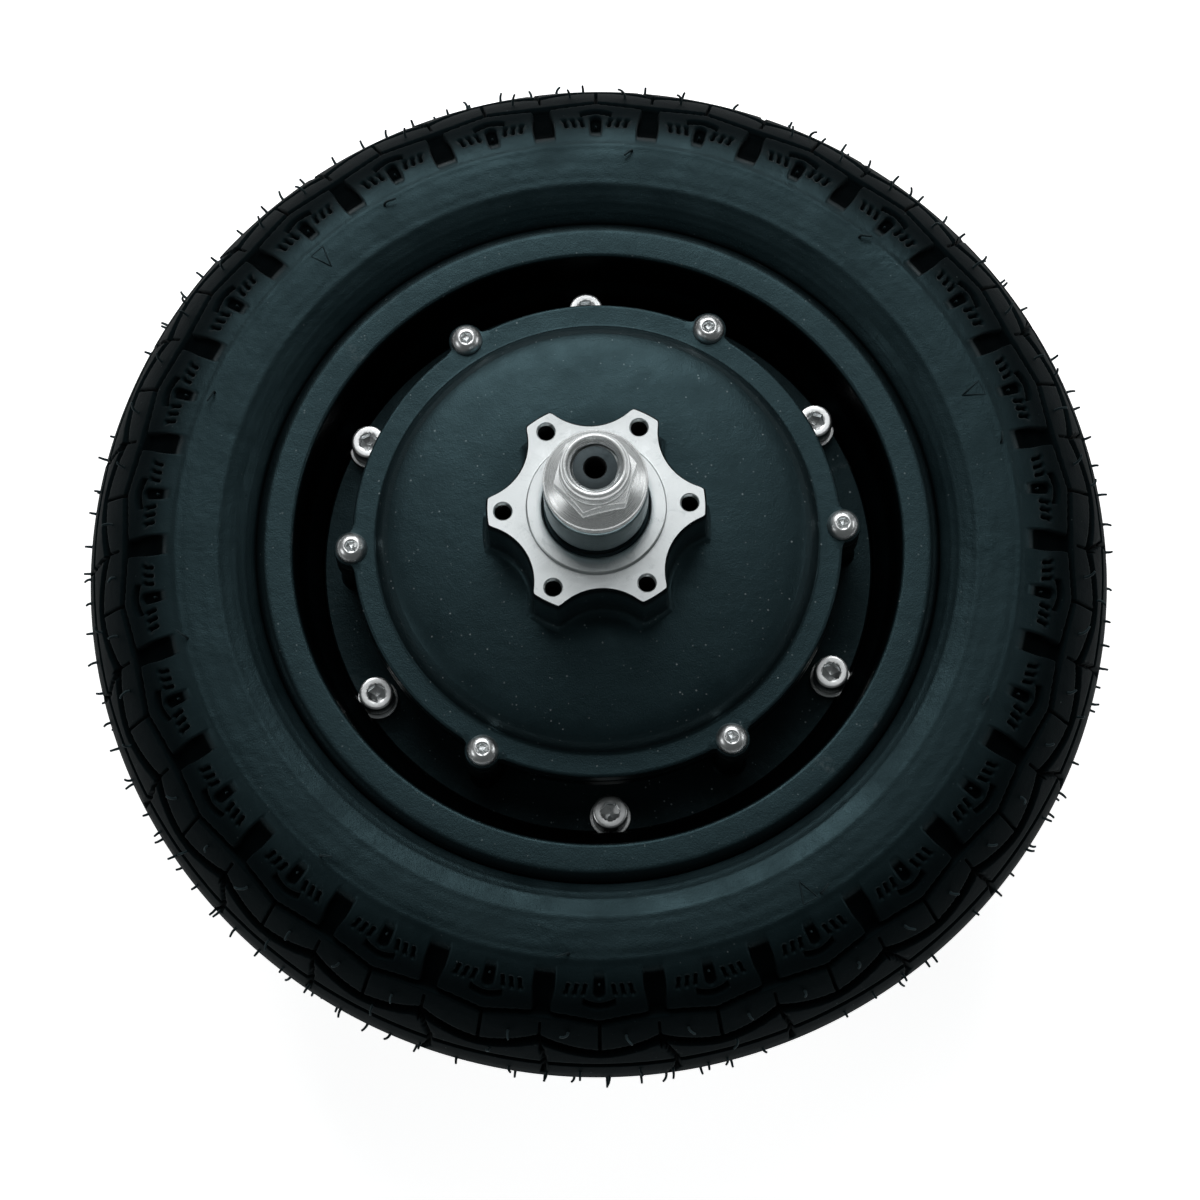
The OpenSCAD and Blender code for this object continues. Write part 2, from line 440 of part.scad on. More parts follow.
module rotor_magnets() color("#9aa0a2") around(20) translate([0, 0, -20]) linear_extrude(height = 24) intersection() {
  difference() { circle(r = 41.15, $fn = 180); circle(r = 38.1, $fn = 180); }
  polygon([[30, -30*tan(8.6)], [45, -45*tan(8.6)], [45, 45*tan(8.6)], [30, 30*tan(8.6)]]);
}
module sun_gear() color("#a7afb1") difference() {
  union() {
    translate([0, 0, 9.02]) linear_extrude(height = 14.5) polygon(gear_pts(sun_n, gear_m*(sun_n/2 - 1.25), gear_m*(sun_n/2 + 1), -backlash));
    translate([0, 0, 6.45]) cylinder(r = 9.55, h = 2.7, $fn = 96);
  }
  translate([0, 0, 0]) cylinder(r = 7.6, h = 30, $fn = 96);
}
module planet(i) rotate([0, 0, 120*i]) translate([centre_d, 0, 0]) rotate([0, 0, 180/planet_n]) difference() {
  translate([0, 0, 11.5]) linear_extrude(height = 12) difference() {
    polygon(gear_pts(planet_n, gear_m*(planet_n/2 - 1.25), gear_m*(planet_n/2 + 1), -backlash));
    circle(r = 5.02, $fn = 64);
  }
  for (s = [0, 1]) translate([0, 0, s ? 21.9 : 10.5]) difference() { cylinder(r = 14.2, h = 2.6, $fn = 96); translate([0, 0, -1]) cylinder(r = 7.4, h = 5, $fn = 64); }
}
module planet_gear_1() color("#e6e1d2") planet(0);
module planet_gear_2() color("#e6e1d2") planet(1);
module planet_gear_3() color("#e6e1d2") planet(2);
module bush(i) color("#b48a3c") rotate([0, 0, 120*i]) translate([centre_d, 0, 0]) ring(3.05, 5.0, 11.4, 23.6);
module planet_bush_1() bush(0);
module planet_bush_2() bush(1);
module planet_bush_3() bush(2);
module ring_gear() color("#7d8689") translate([0, 0, 11]) linear_extrude(height = 12.5) difference() {
  circle(r = 50.95, $fn = 180);
  rotate(180/ring_n) polygon(gear_pts(ring_n, gear_m*(ring_n/2 - 1), gear_m*(ring_n/2 + 1.25), backlash));
}

tyre();
inner_tube();
rim_tape();
valve_stem();
valve_locknut();
valve_cap();
rim();
hub_shell();
side_cover();
cover_gasket();
cover_screws();
rim_screws();
spring_washers();
flat_washers();
ring_gear();
disc_side_seal();
cable_side_seal();
disc_bearing_outer_race();
cable_bearing_outer_race();
axle();
disc_side_nut();
disc_side_spacer();
cable_side_spacer();
torque_washer();
cable_side_nut();
lead_grommet();
stator_core();
stator_windings();
slot_liners();
stator_hub();
stator_key();
hall_board();
disc_bearing_inner_race();
cable_bearing_inner_race();
rotor_bearing_inner_race();
one_way_clutch();
clutch_rollers();
planet_carrier();
planet_pins();
pin_circlips();
thrust_washer();
bearing_spacer();
rotor_can();
rotor_magnets();
sun_gear();
rotor_bearing_outer_race();
planet_gear_1();
planet_gear_2();
planet_gear_3();
planet_bush_1();
planet_bush_2();
planet_bush_3();
disc_bearing_balls();
cable_bearing_balls();
rotor_bearing_balls();
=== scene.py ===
import math
import random
import bpy
import numpy as np
from mathutils import Matrix, Vector
from mathutils.geometry import delaunay_2d_cdt


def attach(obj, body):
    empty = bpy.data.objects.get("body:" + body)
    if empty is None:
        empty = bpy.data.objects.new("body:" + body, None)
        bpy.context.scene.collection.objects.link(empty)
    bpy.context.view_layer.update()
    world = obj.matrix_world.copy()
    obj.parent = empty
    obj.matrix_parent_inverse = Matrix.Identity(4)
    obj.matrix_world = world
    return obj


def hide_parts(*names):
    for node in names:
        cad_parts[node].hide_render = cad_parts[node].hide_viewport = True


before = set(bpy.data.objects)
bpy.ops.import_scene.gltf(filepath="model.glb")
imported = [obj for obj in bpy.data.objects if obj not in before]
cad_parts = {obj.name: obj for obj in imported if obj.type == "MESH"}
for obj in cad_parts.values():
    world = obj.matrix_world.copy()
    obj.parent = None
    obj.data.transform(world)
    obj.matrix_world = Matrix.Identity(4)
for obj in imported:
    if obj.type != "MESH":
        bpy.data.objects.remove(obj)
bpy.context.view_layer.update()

PI = math.pi
cos, sin, rad = math.cos, math.sin, math.radians
RND = random.Random(7)

# ------------------------------------------------------------------ mesh helpers (all sizes in mm)


def smooth01(x):
    x = np.clip(x, 0.0, 1.0)
    return x * x * (3 - 2 * x)


def band(d, half, edge):
    """1 inside |d| < half, 0 outside, over a soft edge."""
    return 1 - smooth01((np.abs(d) - (half - edge / 2)) / edge)


def smin(a, b, k):
    h = np.clip(0.5 + 0.5 * (b - a) / k, 0, 1)
    return b + (a - b) * h - k * h * (1 - h)


def smax(a, b, k):
    return -smin(-np.asarray(a, float), -np.asarray(b, float), k)


class Geo:
    def __init__(self):
        self.v, self.f, self.m, self.n = [], [], [], 0

    def add(self, V, F, mi=0):
        V = np.asarray(V, float).reshape(-1, 3)
        self.v.append(V)
        n = self.n
        self.f += [tuple(i + n for i in f) for f in F]
        self.m += list(mi) if isinstance(mi, (list, tuple)) else [mi] * len(F)
        self.n += len(V)
        return self

    def joined(self, other, M=None):
        V = np.concatenate(other.v)
        if M is not None:
            A = np.array(M)
            V = V @ A[:3, :3].T + A[:3, 3]
        return self.add(V, other.f, list(other.m))


def lathe(g, rings, n=192, th=None, mi=0, caps=(False, False), closed=False, centre=(0, 0)):
    """Rings of (r, z) or (r, z, material): r and z are numbers or arrays over the angles th."""
    th = np.linspace(0, 2 * PI, n, endpoint=False) if th is None else np.asarray(th)
    n = len(th)
    c, s = np.cos(th), np.sin(th)
    V, F, M = [], [], []
    for ring in rings:
        r, z = np.broadcast_to(ring[0], (n,)), np.broadcast_to(ring[1], (n,))
        V.append(np.stack([centre[0] + r * c, centre[1] + r * s, z], 1))
    k = len(rings)
    for i in range(k if closed else k - 1):
        j = (i + 1) % k
        m = rings[i][2] if len(rings[i]) > 2 else mi
        for a in range(n):
            b = (a + 1) % n
            F.append((i * n + a, i * n + b, j * n + b, j * n + a))
        M += [m] * n
    V = np.concatenate(V)
    for side in (0, 1):
        if caps[side]:
            base = 0 if side == 0 else (k - 1) * n
            V = np.vstack([V, V[base:base + n].mean(0)])
            p = len(V) - 1
            for a in range(n):
                b = (a + 1) % n
                F.append((p, base + b, base + a) if side == 0 else (p, base + a, base + b))
            m = rings[-1 if side else 0]
            M += [m[2] if len(m) > 2 else mi] * n
    return g.add(V, F, M)


def rounded(points, d=0.3, closed=False, least=12):
    """Cuts each corner of an outline of (r, z) into a short arc."""
    out = []
    n = len(points)
    for i, p in enumerate(points):
        if not closed and i in (0, n - 1):
            out.append(tuple(p))
            continue
        a, b, c = np.array(points[i - 1][:2], float), np.array(p[:2], float), np.array(points[(i + 1) % n][:2], float)
        u, w = a - b, c - b
        lu, lw = np.linalg.norm(u), np.linalg.norm(w)
        if lu < 1e-6 or lw < 1e-6:
            continue
        turn = 180 - math.degrees(math.acos(max(-1, min(1, float(u @ w) / (lu * lw)))))
        extra = tuple(p[2:])
        if turn < least:
            out.append(tuple(b) + extra)
            continue
        e = min(d, 0.42 * lu, 0.42 * lw)
        p1, p2 = b + u / lu * e, b + w / lw * e
        for t in (0.0, 0.33, 0.67, 1.0):
            q = (1 - t) ** 2 * p1 + 2 * t * (1 - t) * b + t * t * p2
            out.append(tuple(q) + extra)
    return out


def tube(g, path, radii, n=8, mi=0, cap=True):
    """A round tube along a path, with a radius at each point."""
    P = np.asarray(path, float)
    T = np.gradient(P, axis=0)
    T /= np.linalg.norm(T, axis=1)[:, None]
    up = np.array([0.0, 0, 1]) if abs(T[0][2]) < 0.9 else np.array([1.0, 0, 0])
    V, F = [], []
    for i, p in enumerate(P):
        x = np.cross(up, T[i])
        x /= np.linalg.norm(x)
        y = np.cross(T[i], x)
        for a in range(n):
            t = 2 * PI * a / n
            V.append(p + radii[i] * (cos(t) * x + sin(t) * y))
    k = len(P)
    for i in range(k - 1):
        for a in range(n):
            b = (a + 1) % n
            F.append((i * n + a, i * n + b, (i + 1) * n + b, (i + 1) * n + a))
    if cap:
        V.append(P[0] - T[0] * radii[0] * 0.3)
        V.append(P[-1] + T[-1] * radii[-1] * 0.5)
        for a in range(n):
            b = (a + 1) % n
            F.append((len(V) - 2, b, a))
            F.append((len(V) - 1, (k - 1) * n + a, (k - 1) * n + b))
    return g.add(V, F, mi)


def plate(g, outer, holes, z, up=True, mi=0):
    """A flat face between an outline and round or other holes: outer and holes are lists of (x, y)."""
    pts, edges = [], []
    for loop in [outer] + holes:
        b = len(pts)
        pts += [Vector(p) for p in loop]
        edges += [(b + i, b + (i + 1) % len(loop)) for i in range(len(loop))]
    res = delaunay_2d_cdt(pts, edges, [], 1, 1e-7)
    V, T = np.array([tuple(v) for v in res[0]]), res[2]

    def inside(p, loop):
        x, y = p
        hit = False
        for i in range(len(loop)):
            (x1, y1), (x2, y2) = loop[i - 1], loop[i]
            if (y1 > y) != (y2 > y) and x < (x2 - x1) * (y - y1) / (y2 - y1) + x1:
                hit = not hit
        return hit
    F = []
    for t in T:
        c = V[list(t)].mean(0)
        if not inside(c, outer) or any(inside(c, h) for h in holes):
            continue
        a, b, d = (V[i] for i in t)
        ccw = (b[0] - a[0]) * (d[1] - a[1]) - (b[1] - a[1]) * (d[0] - a[0]) > 0
        F.append(tuple(t) if ccw == up else tuple(reversed(t)))
    return g.add(np.c_[V, np.full(len(V), z)], F, mi)


def circle(x, y, r, n=48, a0=0.0):
    return [(x + r * cos(a0 + 2 * PI * i / n), y + r * sin(a0 + 2 * PI * i / n)) for i in range(n)]


def walls(g, loop_a, za, loop_b, zb, mi=0, flip=False):
    n = len(loop_a)
    V = [(p[0], p[1], za) for p in loop_a] + [(p[0], p[1], zb) for p in loop_b]
    F = [(i, (i + 1) % n, n + (i + 1) % n, n + i) for i in range(n)]
    return g.add(V, [tuple(reversed(f)) for f in F] if flip else F, mi)


def build(name, g, mats, body, nodes=(), sharp=32, weld=True):
    V = np.concatenate(g.v) * 0.001
    me = bpy.data.meshes.new(name)
    me.from_pydata(V.tolist(), [], g.f)
    for m in mats:
        me.materials.append(m)
    me.polygons.foreach_set("material_index", np.array(g.m, np.int32))
    me.update()
    if weld:
        import bmesh
        bm = bmesh.new()
        bm.from_mesh(me)
        bmesh.ops.remove_doubles(bm, verts=bm.verts, dist=2e-7)
        bmesh.ops.recalc_face_normals(bm, faces=bm.faces)
        bm.to_mesh(me)
        bm.free()
    me.polygons.foreach_set("use_smooth", np.ones(len(me.polygons), bool))
    me.set_sharp_from_angle(angle=rad(sharp))
    me.update()
    o = bpy.data.objects.new(name, me)
    bpy.context.scene.collection.objects.link(o)
    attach(o, body)
    if nodes:
        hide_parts(*nodes)
    return o


def rotz(deg, x=0, y=0, z=0):
    return Matrix.Rotation(rad(deg), 4, "Z") @ Matrix.Translation((x, y, z))


# ------------------------------------------------------------------ materials


class Mat:
    def __init__(self, name, **sockets):
        self.m = bpy.data.materials.new(name)
        self.m.use_nodes = True
        self.t = self.m.node_tree
        self.p = self.t.nodes["Principled BSDF"]
        for k, v in sockets.items():
            self.p.inputs[k.replace("_", " ")].default_value = v
        self.co = self.t.nodes.new("ShaderNodeTexCoord").outputs["Object"]

    def node(self, kind, **kw):
        n = self.t.nodes.new(kind)
        for k, v in kw.items():
            setattr(n, k, v)
        return n

    def link(self, a, b):
        self.t.links.new(a, b)

    def math(self, op, a, b=None, clamp=False):
        n = self.node("ShaderNodeMath", operation=op, use_clamp=clamp)
        for i, x in enumerate([a] if b is None else [a, b]):
            if isinstance(x, (int, float)):
                n.inputs[i].default_value = x
            else:
                self.link(x, n.inputs[i])
        return n.outputs[0]

    def noise(self, scale, detail=4, rough=0.55, co=None, dist=0.0):
        n = self.node("ShaderNodeTexNoise")
        n.inputs["Scale"].default_value = scale
        n.inputs["Detail"].default_value = detail
        n.inputs["Roughness"].default_value = rough
        n.inputs["Distortion"].default_value = dist
        self.link(co or self.co, n.inputs["Vector"])
        return n.outputs["Fac"]

    def voronoi(self, scale, co=None, feature="F1", out="Distance"):
        n = self.node("ShaderNodeTexVoronoi", feature=feature)
        n.inputs["Scale"].default_value = scale
        self.link(co or self.co, n.inputs["Vector"])
        return n.outputs[out]

    def ramp(self, fac, stops):
        n = self.node("ShaderNodeValToRGB")
        el = n.color_ramp.elements
        while len(el) > 1:
            el.remove(el[-1])
        el[0].position, el[0].color = stops[0][0], self.rgba(stops[0][1])
        for pos, col in stops[1:]:
            e = el.new(pos)
            e.color = self.rgba(col)
        self.link(fac, n.inputs[0])
        return n.outputs["Color"]

    @staticmethod
    def rgba(c):
        return (c, c, c, 1) if isinstance(c, (int, float)) else (*c, 1)

    def mix(self, fac, a, b, blend="MIX"):
        n = self.node("ShaderNodeMix", data_type="RGBA", blend_type=blend)
        for i, x in ((0, fac), (6, a), (7, b)):
            if isinstance(x, (int, float)) and i == 0:
                n.inputs[0].default_value = x
            elif isinstance(x, (tuple, list)):
                n.inputs[i].default_value = (*x, 1)
            else:
                self.link(x, n.inputs[i])
        return n.outputs[2]

    def polar(self, kr=1.0, ka=1.0, kz=1.0):
        """Coordinates (radius, turns round Z, z), each scaled, for turned and rolled metal."""
        s = self.node("ShaderNodeSeparateXYZ")
        self.link(self.co, s.inputs[0])
        x, y, z = s.outputs
        r = self.math("SQRT", self.math("ADD", self.math("MULTIPLY", x, x), self.math("MULTIPLY", y, y)))
        a = self.math("ARCTAN2", y, x)
        c = self.node("ShaderNodeCombineXYZ")
        self.link(self.math("MULTIPLY", r, kr), c.inputs[0])
        self.link(self.math("MULTIPLY", a, ka), c.inputs[1])
        self.link(self.math("MULTIPLY", z, kz), c.inputs[2])
        return c.outputs[0]

    def colour(self, c):
        self.link(c, self.p.inputs["Base Color"])

    def rough(self, fac, lo, hi):
        n = self.node("ShaderNodeMapRange")
        self.link(fac, n.inputs[0])
        n.inputs[1].default_value, n.inputs[2].default_value = 0.3, 0.7
        n.inputs[3].default_value, n.inputs[4].default_value = lo, hi
        self.link(n.outputs[0], self.p.inputs["Roughness"])
        return n.outputs[0]

    def bump(self, height, strength, dist, prev=None):
        n = self.node("ShaderNodeBump")
        n.inputs["Strength"].default_value = strength
        n.inputs["Distance"].default_value = dist
        self.link(height, n.inputs["Height"])
        if prev is not None:
            self.link(prev, n.inputs["Normal"])
        self.link(n.outputs[0], self.p.inputs["Normal"])
        return n.outputs[0]

    def edges(self, lo, hi):
        """A mask of worn convex edges."""
        g = self.node("ShaderNodeNewGeometry")
        n = self.node("ShaderNodeMapRange")
        self.link(g.outputs["Pointiness"], n.inputs[0])
        n.inputs[1].default_value, n.inputs[2].default_value = lo, hi
        return n.outputs[0]


TINT = (0.52, 0.93, 1.05, 1)


def rubber_mat(name, a=(0.002, 0.0042, 0.005), b=(0.0045, 0.0095, 0.0112), rough=(0.30, 0.56), dust=0.6, groove=False):
    m = Mat(name, Specular_IOR_Level=0.5, Specular_Tint=TINT)
    big = m.noise(22, 5, 0.6)
    mid = m.noise(160, 6, 0.65)
    fine = m.noise(2600, 3, 0.6)
    col = m.mix(big, a, b)
    col = m.mix(m.math("MULTIPLY", mid, 0.55), col, tuple(1.35 * x for x in b))
    # pale dust that has settled in specks and thin smears
    speck = m.ramp(m.voronoi(420), [(0.0, 1.0), (0.06, 0.8), (0.10, 0.0)])
    where = m.ramp(m.noise(55, 4, 0.7), [(0.5, 0.0), (0.68, 1.0)])
    d = m.math("MULTIPLY", m.math("MULTIPLY", speck, where), dust)
    col = m.mix(d, col, (0.20, 0.24, 0.25))
    smear = m.ramp(m.noise(30, 8, 0.75, dist=1.4), [(0.54, 0.0), (0.8, 1.0)])
    col = m.mix(m.math("MULTIPLY", smear, 0.22), col, (0.022, 0.036, 0.040))
    m.colour(col)
    rr = m.rough(m.noise(70, 5, 0.6), *rough)
    n1 = m.bump(fine, 0.4, 0.00014)
    n2 = m.bump(mid, 0.35, 0.0005, n1)
    m.bump(m.noise(38, 4, 0.6, dist=0.3), 0.4, 0.0014, n2)
    if groove:
        # painted shade: the base colour is darkened in the grooves by their depth and over the tread band round the
        # crown, where the lamps leave the rubber dark; there it is also duller than the sidewall, with less specular
        at = m.node("ShaderNodeAttribute", attribute_name="groove")
        # painted shade in the grooves, by their depth
        deep = m.ramp(at.outputs["Fac"], [(0.1, 0.0), (0.75, 1.0)])
        base_col = m.mix(deep, col, (0.0006, 0.0011, 0.0013))
        pol = m.node("ShaderNodeSeparateXYZ")
        m.link(m.polar(), pol.inputs[0])
        # painted shade mask: the tread band, radius 103.5 to 113.5 mm
        n = m.node("ShaderNodeMapRange", interpolation_type="SMOOTHSTEP")
        m.link(pol.outputs[0], n.inputs[0])
        n.inputs[1].default_value, n.inputs[2].default_value = 0.1035, 0.1135
        n.inputs[3].default_value, n.inputs[4].default_value = 0.0, 1.0
        dull = m.math("MAXIMUM", m.math("MULTIPLY", n.outputs[0], 0.90), deep)
        m.colour(m.mix(m.math("MULTIPLY", n.outputs[0], 0.55), base_col, (0.0012, 0.0022, 0.0026)))
        lev = m.math("MULTIPLY", m.math("SUBTRACT", 1.0, dull), 0.5)
        m.link(m.math("MAXIMUM", m.math("MULTIPLY", lev, 0.8), 0.03), m.p.inputs["Specular IOR Level"])
        m.link(m.math("MAXIMUM", m.math("MULTIPLY", dull, 0.8), rr), m.p.inputs["Roughness"])
    return m.m


def paint_mat(name, a=(0.0125, 0.0175, 0.0195), b=(0.019, 0.026, 0.0285), grain=1500, rough=(0.34, 0.50), specks=0.6, bump=0.5, shade=None, spec=0.5, ring=None):
    """Powder coat: orange peel grain, small pale specks, handling marks, edges rubbed paler."""
    m = Mat(name, Specular_IOR_Level=spec, Specular_Tint=TINT)
    big = m.noise(35, 5, 0.6)
    col = m.mix(big, a, b)
    peel = m.noise(grain, 2, 0.5)
    col = m.mix(m.math("MULTIPLY", m.ramp(peel, [(0.5, 0.0), (0.72, 1.0)]), 0.30), col, tuple(3.0 * x for x in b))
    speck = m.ramp(m.voronoi(560), [(0.0, 1.0), (0.09, 0.8), (0.16, 0.0)])
    where = m.ramp(m.noise(300, 4, 0.7), [(0.50, 0.0), (0.62, 1.0)])
    col = m.mix(m.math("MULTIPLY", m.math("MULTIPLY", speck, where), specks), col, (0.28, 0.32, 0.33))
    edge = m.math("MULTIPLY", m.edges(0.52, 0.60), m.ramp(m.noise(900, 4, 0.7), [(0.42, 0.0), (0.62, 1.0)]))
    col = m.mix(m.math("MULTIPLY", edge, 0.35), col, (0.10, 0.115, 0.12))
    m.colour(col)
    m.rough(m.noise(110, 5, 0.65), *rough)
    n1 = m.bump(peel, bump, 0.00012)
    m.bump(m.noise(240, 4, 0.6), 0.25, 0.0005, n1)
    if ring:
        # painted shade: outside the flat band that the light reaches, on the rim's inner wall below it and round its
        # outer edge, the coat's colour is taken towards near black and its specular lowered
        pol = m.node("ShaderNodeSeparateXYZ")
        m.link(m.polar(), pol.inputs[0])
        ends = []
        for lo, hi in (ring[:2], ring[2:]):
            n = m.node("ShaderNodeMapRange", interpolation_type="SMOOTHSTEP")
            m.link(pol.outputs[0], n.inputs[0])
            n.inputs[1].default_value, n.inputs[2].default_value = lo, hi
            ends.append(n.outputs[0])
        lit = m.math("SUBTRACT", ends[0], m.math("MULTIPLY", ends[1], 0.75), True)
        m.colour(m.mix(lit, (0.0004, 0.0008, 0.001), col))
        m.link(m.math("ADD", 0.05, m.math("MULTIPLY", lit, spec - 0.05)), m.p.inputs["Specular IOR Level"])
    if shade:
        # painted shade: from this height up the steep walls are darkened towards near black, with less specular
        pos = m.node("ShaderNodeSeparateXYZ")
        m.link(m.co, pos.inputs[0])
        n = m.node("ShaderNodeMapRange", interpolation_type="SMOOTHSTEP")
        m.link(pos.outputs[2], n.inputs[0])
        n.inputs[1].default_value, n.inputs[2].default_value = shade
        m.colour(m.mix(m.math("MULTIPLY", n.outputs[0], 0.8), col, (0.0004, 0.0008, 0.001)))
        m.link(m.math("SUBTRACT", 0.5, m.math("MULTIPLY", n.outputs[0], 0.42)), m.p.inputs["Specular IOR Level"])
    return m.m


def metal_mat(name, a, b, rough=(0.2, 0.34), turned=True, aniso=0.0, bump=0.25, marks=(0.35, 0.36, 0.36), kr=9000, kz=9000, ka=2.0, mark_amt=0.3, metal=1.0):
    """Bare or plated metal: turning lines or grain, fine scratches and stains."""
    m = Mat(name, Metallic=metal)
    if turned:
        co = m.polar(kr, ka, kz)
        lines = m.noise(1.0, 3, 0.6, co=co)
    else:
        lines = m.noise(1800, 3, 0.6)
    blot = m.noise(90, 6, 0.65)
    col = m.mix(blot, a, b)
    stain = m.ramp(m.noise(240, 6, 0.75, dist=0.8), [(0.56, 0.0), (0.78, 1.0)])
    col = m.mix(m.math("MULTIPLY", stain, mark_amt), col, marks)
    m.colour(col)
    m.rough(m.math("MULTIPLY", m.math("ADD", m.noise(140, 5, 0.6), lines), 0.5), *rough)
    n1 = m.bump(lines, bump, 0.00006)
    scratch = m.ramp(m.voronoi(260, feature="DISTANCE_TO_EDGE"), [(0.0, 0.0), (0.012, 1.0)])
    m.bump(m.mix(m.ramp(m.noise(60, 3, 0.6), [(0.45, 0.0), (0.6, 1.0)]), (1, 1, 1), scratch), 0.05, 0.00005, n1)
    if aniso:
        m.p.inputs["Anisotropic"].default_value = aniso
        t = m.node("ShaderNodeTangent", direction_type="RADIAL", axis="Z")
        m.link(t.outputs[0], m.p.inputs["Tangent"])
    return m.m


def plastic_mat(name, a, b, rough=(0.4, 0.55), grain=2400, bump=0.3, metal=0.0):
    m = Mat(name, Metallic=metal)
    m.colour(m.mix(m.noise(120, 5, 0.6), a, b))
    m.rough(m.noise(200, 4, 0.6), *rough)
    m.bump(m.noise(grain, 3, 0.55), bump, 0.00008)
    return m.m


def winding_mat(name):
    """Enamelled copper wire: fine turns round each tooth, darker gaps between them that are painted shade, varnish that
    has pooled.
    """
    m = Mat(name, Metallic=0.85, Coat_Weight=0.6, Coat_Roughness=0.18)
    w = m.node("ShaderNodeTexWave", wave_type="BANDS", bands_direction="DIAGONAL")
    w.inputs["Scale"].default_value = 420
    w.inputs["Distortion"].default_value = 0.6
    w.inputs["Detail"].default_value = 2
    m.link(m.co, w.inputs["Vector"])
    turns = w.outputs["Fac"]
    # the darker phase of the bands is painted shade in the gaps between turns
    col = m.mix(turns, (0.16, 0.045, 0.012), (0.62, 0.26, 0.09))
    col = m.mix(m.math("MULTIPLY", m.noise(130, 5, 0.65), 0.35), col, (0.20, 0.07, 0.02))
    m.colour(col)
    m.rough(m.noise(300, 4, 0.6), 0.22, 0.40)
    n1 = m.bump(turns, 0.6, 0.0002)
    m.bump(m.noise(900, 4, 0.6), 0.2, 0.00008, n1)
    return m.m


def laminated_mat(name, a, b, kz=9000):
    """A stack of punched sheets: fine lines across Z, light rust and varnish stains."""
    m = Mat(name, Metallic=0.9)
    sheets = m.noise(1.0, 2, 0.4, co=m.polar(60, 0.8, kz))
    col = m.mix(sheets, a, b)
    rust = m.ramp(m.noise(210, 7, 0.75, dist=0.7), [(0.58, 0.0), (0.76, 1.0)])
    col = m.mix(m.math("MULTIPLY", rust, 0.4), col, (0.12, 0.06, 0.03))
    m.colour(col)
    m.rough(m.noise(160, 5, 0.6), 0.36, 0.56)
    n1 = m.bump(sheets, 0.4, 0.00008)
    m.bump(m.noise(1500, 3, 0.6), 0.2, 0.00006, n1)
    return m.m


# tyre rubber, with painted shade in its grooves and over the tread band
TYRE = rubber_mat("tyre_rubber", groove=True)
HAIR = rubber_mat("tyre_hair", (0.004, 0.005, 0.006), (0.008, 0.010, 0.011), (0.6, 0.75), 0.0)
# rim coat: painted shade outside about radius 74 to 81 mm (ring)
RIMP = paint_mat("rim_powder_coat", (0.0030, 0.0065, 0.008), (0.0055, 0.0115, 0.0135), 2600, (0.34, 0.50), 0.6, 0.40, ring=(0.0739, 0.0747, 0.0807, 0.0815))
SHELL = paint_mat("shell_powder_coat", (0.0012, 0.0026, 0.0032), (0.0022, 0.0046, 0.0054), 2400, (0.36, 0.5), 0.9, 0.45, spec=0.2)
# cover coat: painted shade on the star's upper walls, above z 51.4 mm (shade)
COVER = paint_mat("cover_powder_coat", (0.0026, 0.006, 0.0072), (0.0046, 0.010, 0.012), 2800, (0.34, 0.50), 0.9, 0.42, shade=(0.0514, 0.0545))
MACH = metal_mat("machined_face", (0.68, 0.725, 0.735), (0.82, 0.86, 0.87), (0.26, 0.40), True, 0.35, 0.30, (0.40, 0.45, 0.46), 5200, 3000, 3.0, 0.75)
ZINC = metal_mat("zinc_plate", (0.80, 0.83, 0.84), (0.90, 0.92, 0.925), (0.26, 0.40), False, 0, 0.18, (0.40, 0.43, 0.44), mark_amt=0.35)
NUT = metal_mat("nut_plate", (0.84, 0.88, 0.88), (0.94, 0.965, 0.97), (0.20, 0.36), True, 0, 0.22, (0.42, 0.47, 0.48), 6000, 6000, 2.0, 0.3, metal=0.55)
SLEEVE = metal_mat("sleeve_steel", (0.20, 0.29, 0.31), (0.36, 0.47, 0.50), (0.22, 0.36), True, 0.3, 0.35, (0.12, 0.17, 0.19), 5000, 9000, 1.5, 0.3)
DARKSTEEL = metal_mat("phosphated_steel", (0.035, 0.048, 0.054), (0.095, 0.115, 0.122), (0.42, 0.6), False, 0, 0.6, (0.014, 0.020, 0.022), mark_amt=0.7)
# painted shade: a near-black material for the deep threads and floors of the tapped holes and the axle's bores
HOLE_SHADE = plastic_mat("painted_hole_shade", (0.004, 0.005, 0.005), (0.008, 0.009, 0.010), (0.7, 0.85))
SEAL = rubber_mat("seal_rubber", (0.006, 0.007, 0.008), (0.012, 0.014, 0.015), (0.4, 0.55), 0.1)
BRASS = metal_mat("valve_brass", (0.50, 0.38, 0.16), (0.66, 0.53, 0.26), (0.28, 0.42), False, 0, 0.25, (0.25, 0.18, 0.08))
BLACKP = plastic_mat("black_plastic", (0.010, 0.012, 0.013), (0.020, 0.023, 0.024))

# ------------------------------------------------------------------ tyre
PITCHES = 26
PITCH = 2 * PI / PITCHES
NOTCH = rad(170.65)


def catmull(points, step):
    P = np.array([2 * np.array(points[0]) - np.array(points[1])] + [np.array(p) for p in points] + [2 * np.array(points[-1]) - np.array(points[-2])], float)
    out = [P[1]]
    for i in range(1, len(P) - 2):
        a, b, c, d = P[i - 1], P[i], P[i + 1], P[i + 2]
        n = max(2, int(np.linalg.norm(c - b) / (step / 4)))
        for t in np.linspace(0, 1, n + 1)[1:]:
            out.append(0.5 * ((2 * b) + (c - a) * t + (2 * a - 5 * b + 4 * c - d) * t * t + (3 * b - a - 3 * c + d) * t ** 3))
    return np.array(out)


def arc_table(curve):
    return np.concatenate([[0], np.cumsum(np.linalg.norm(np.diff(curve, axis=0), axis=1))])


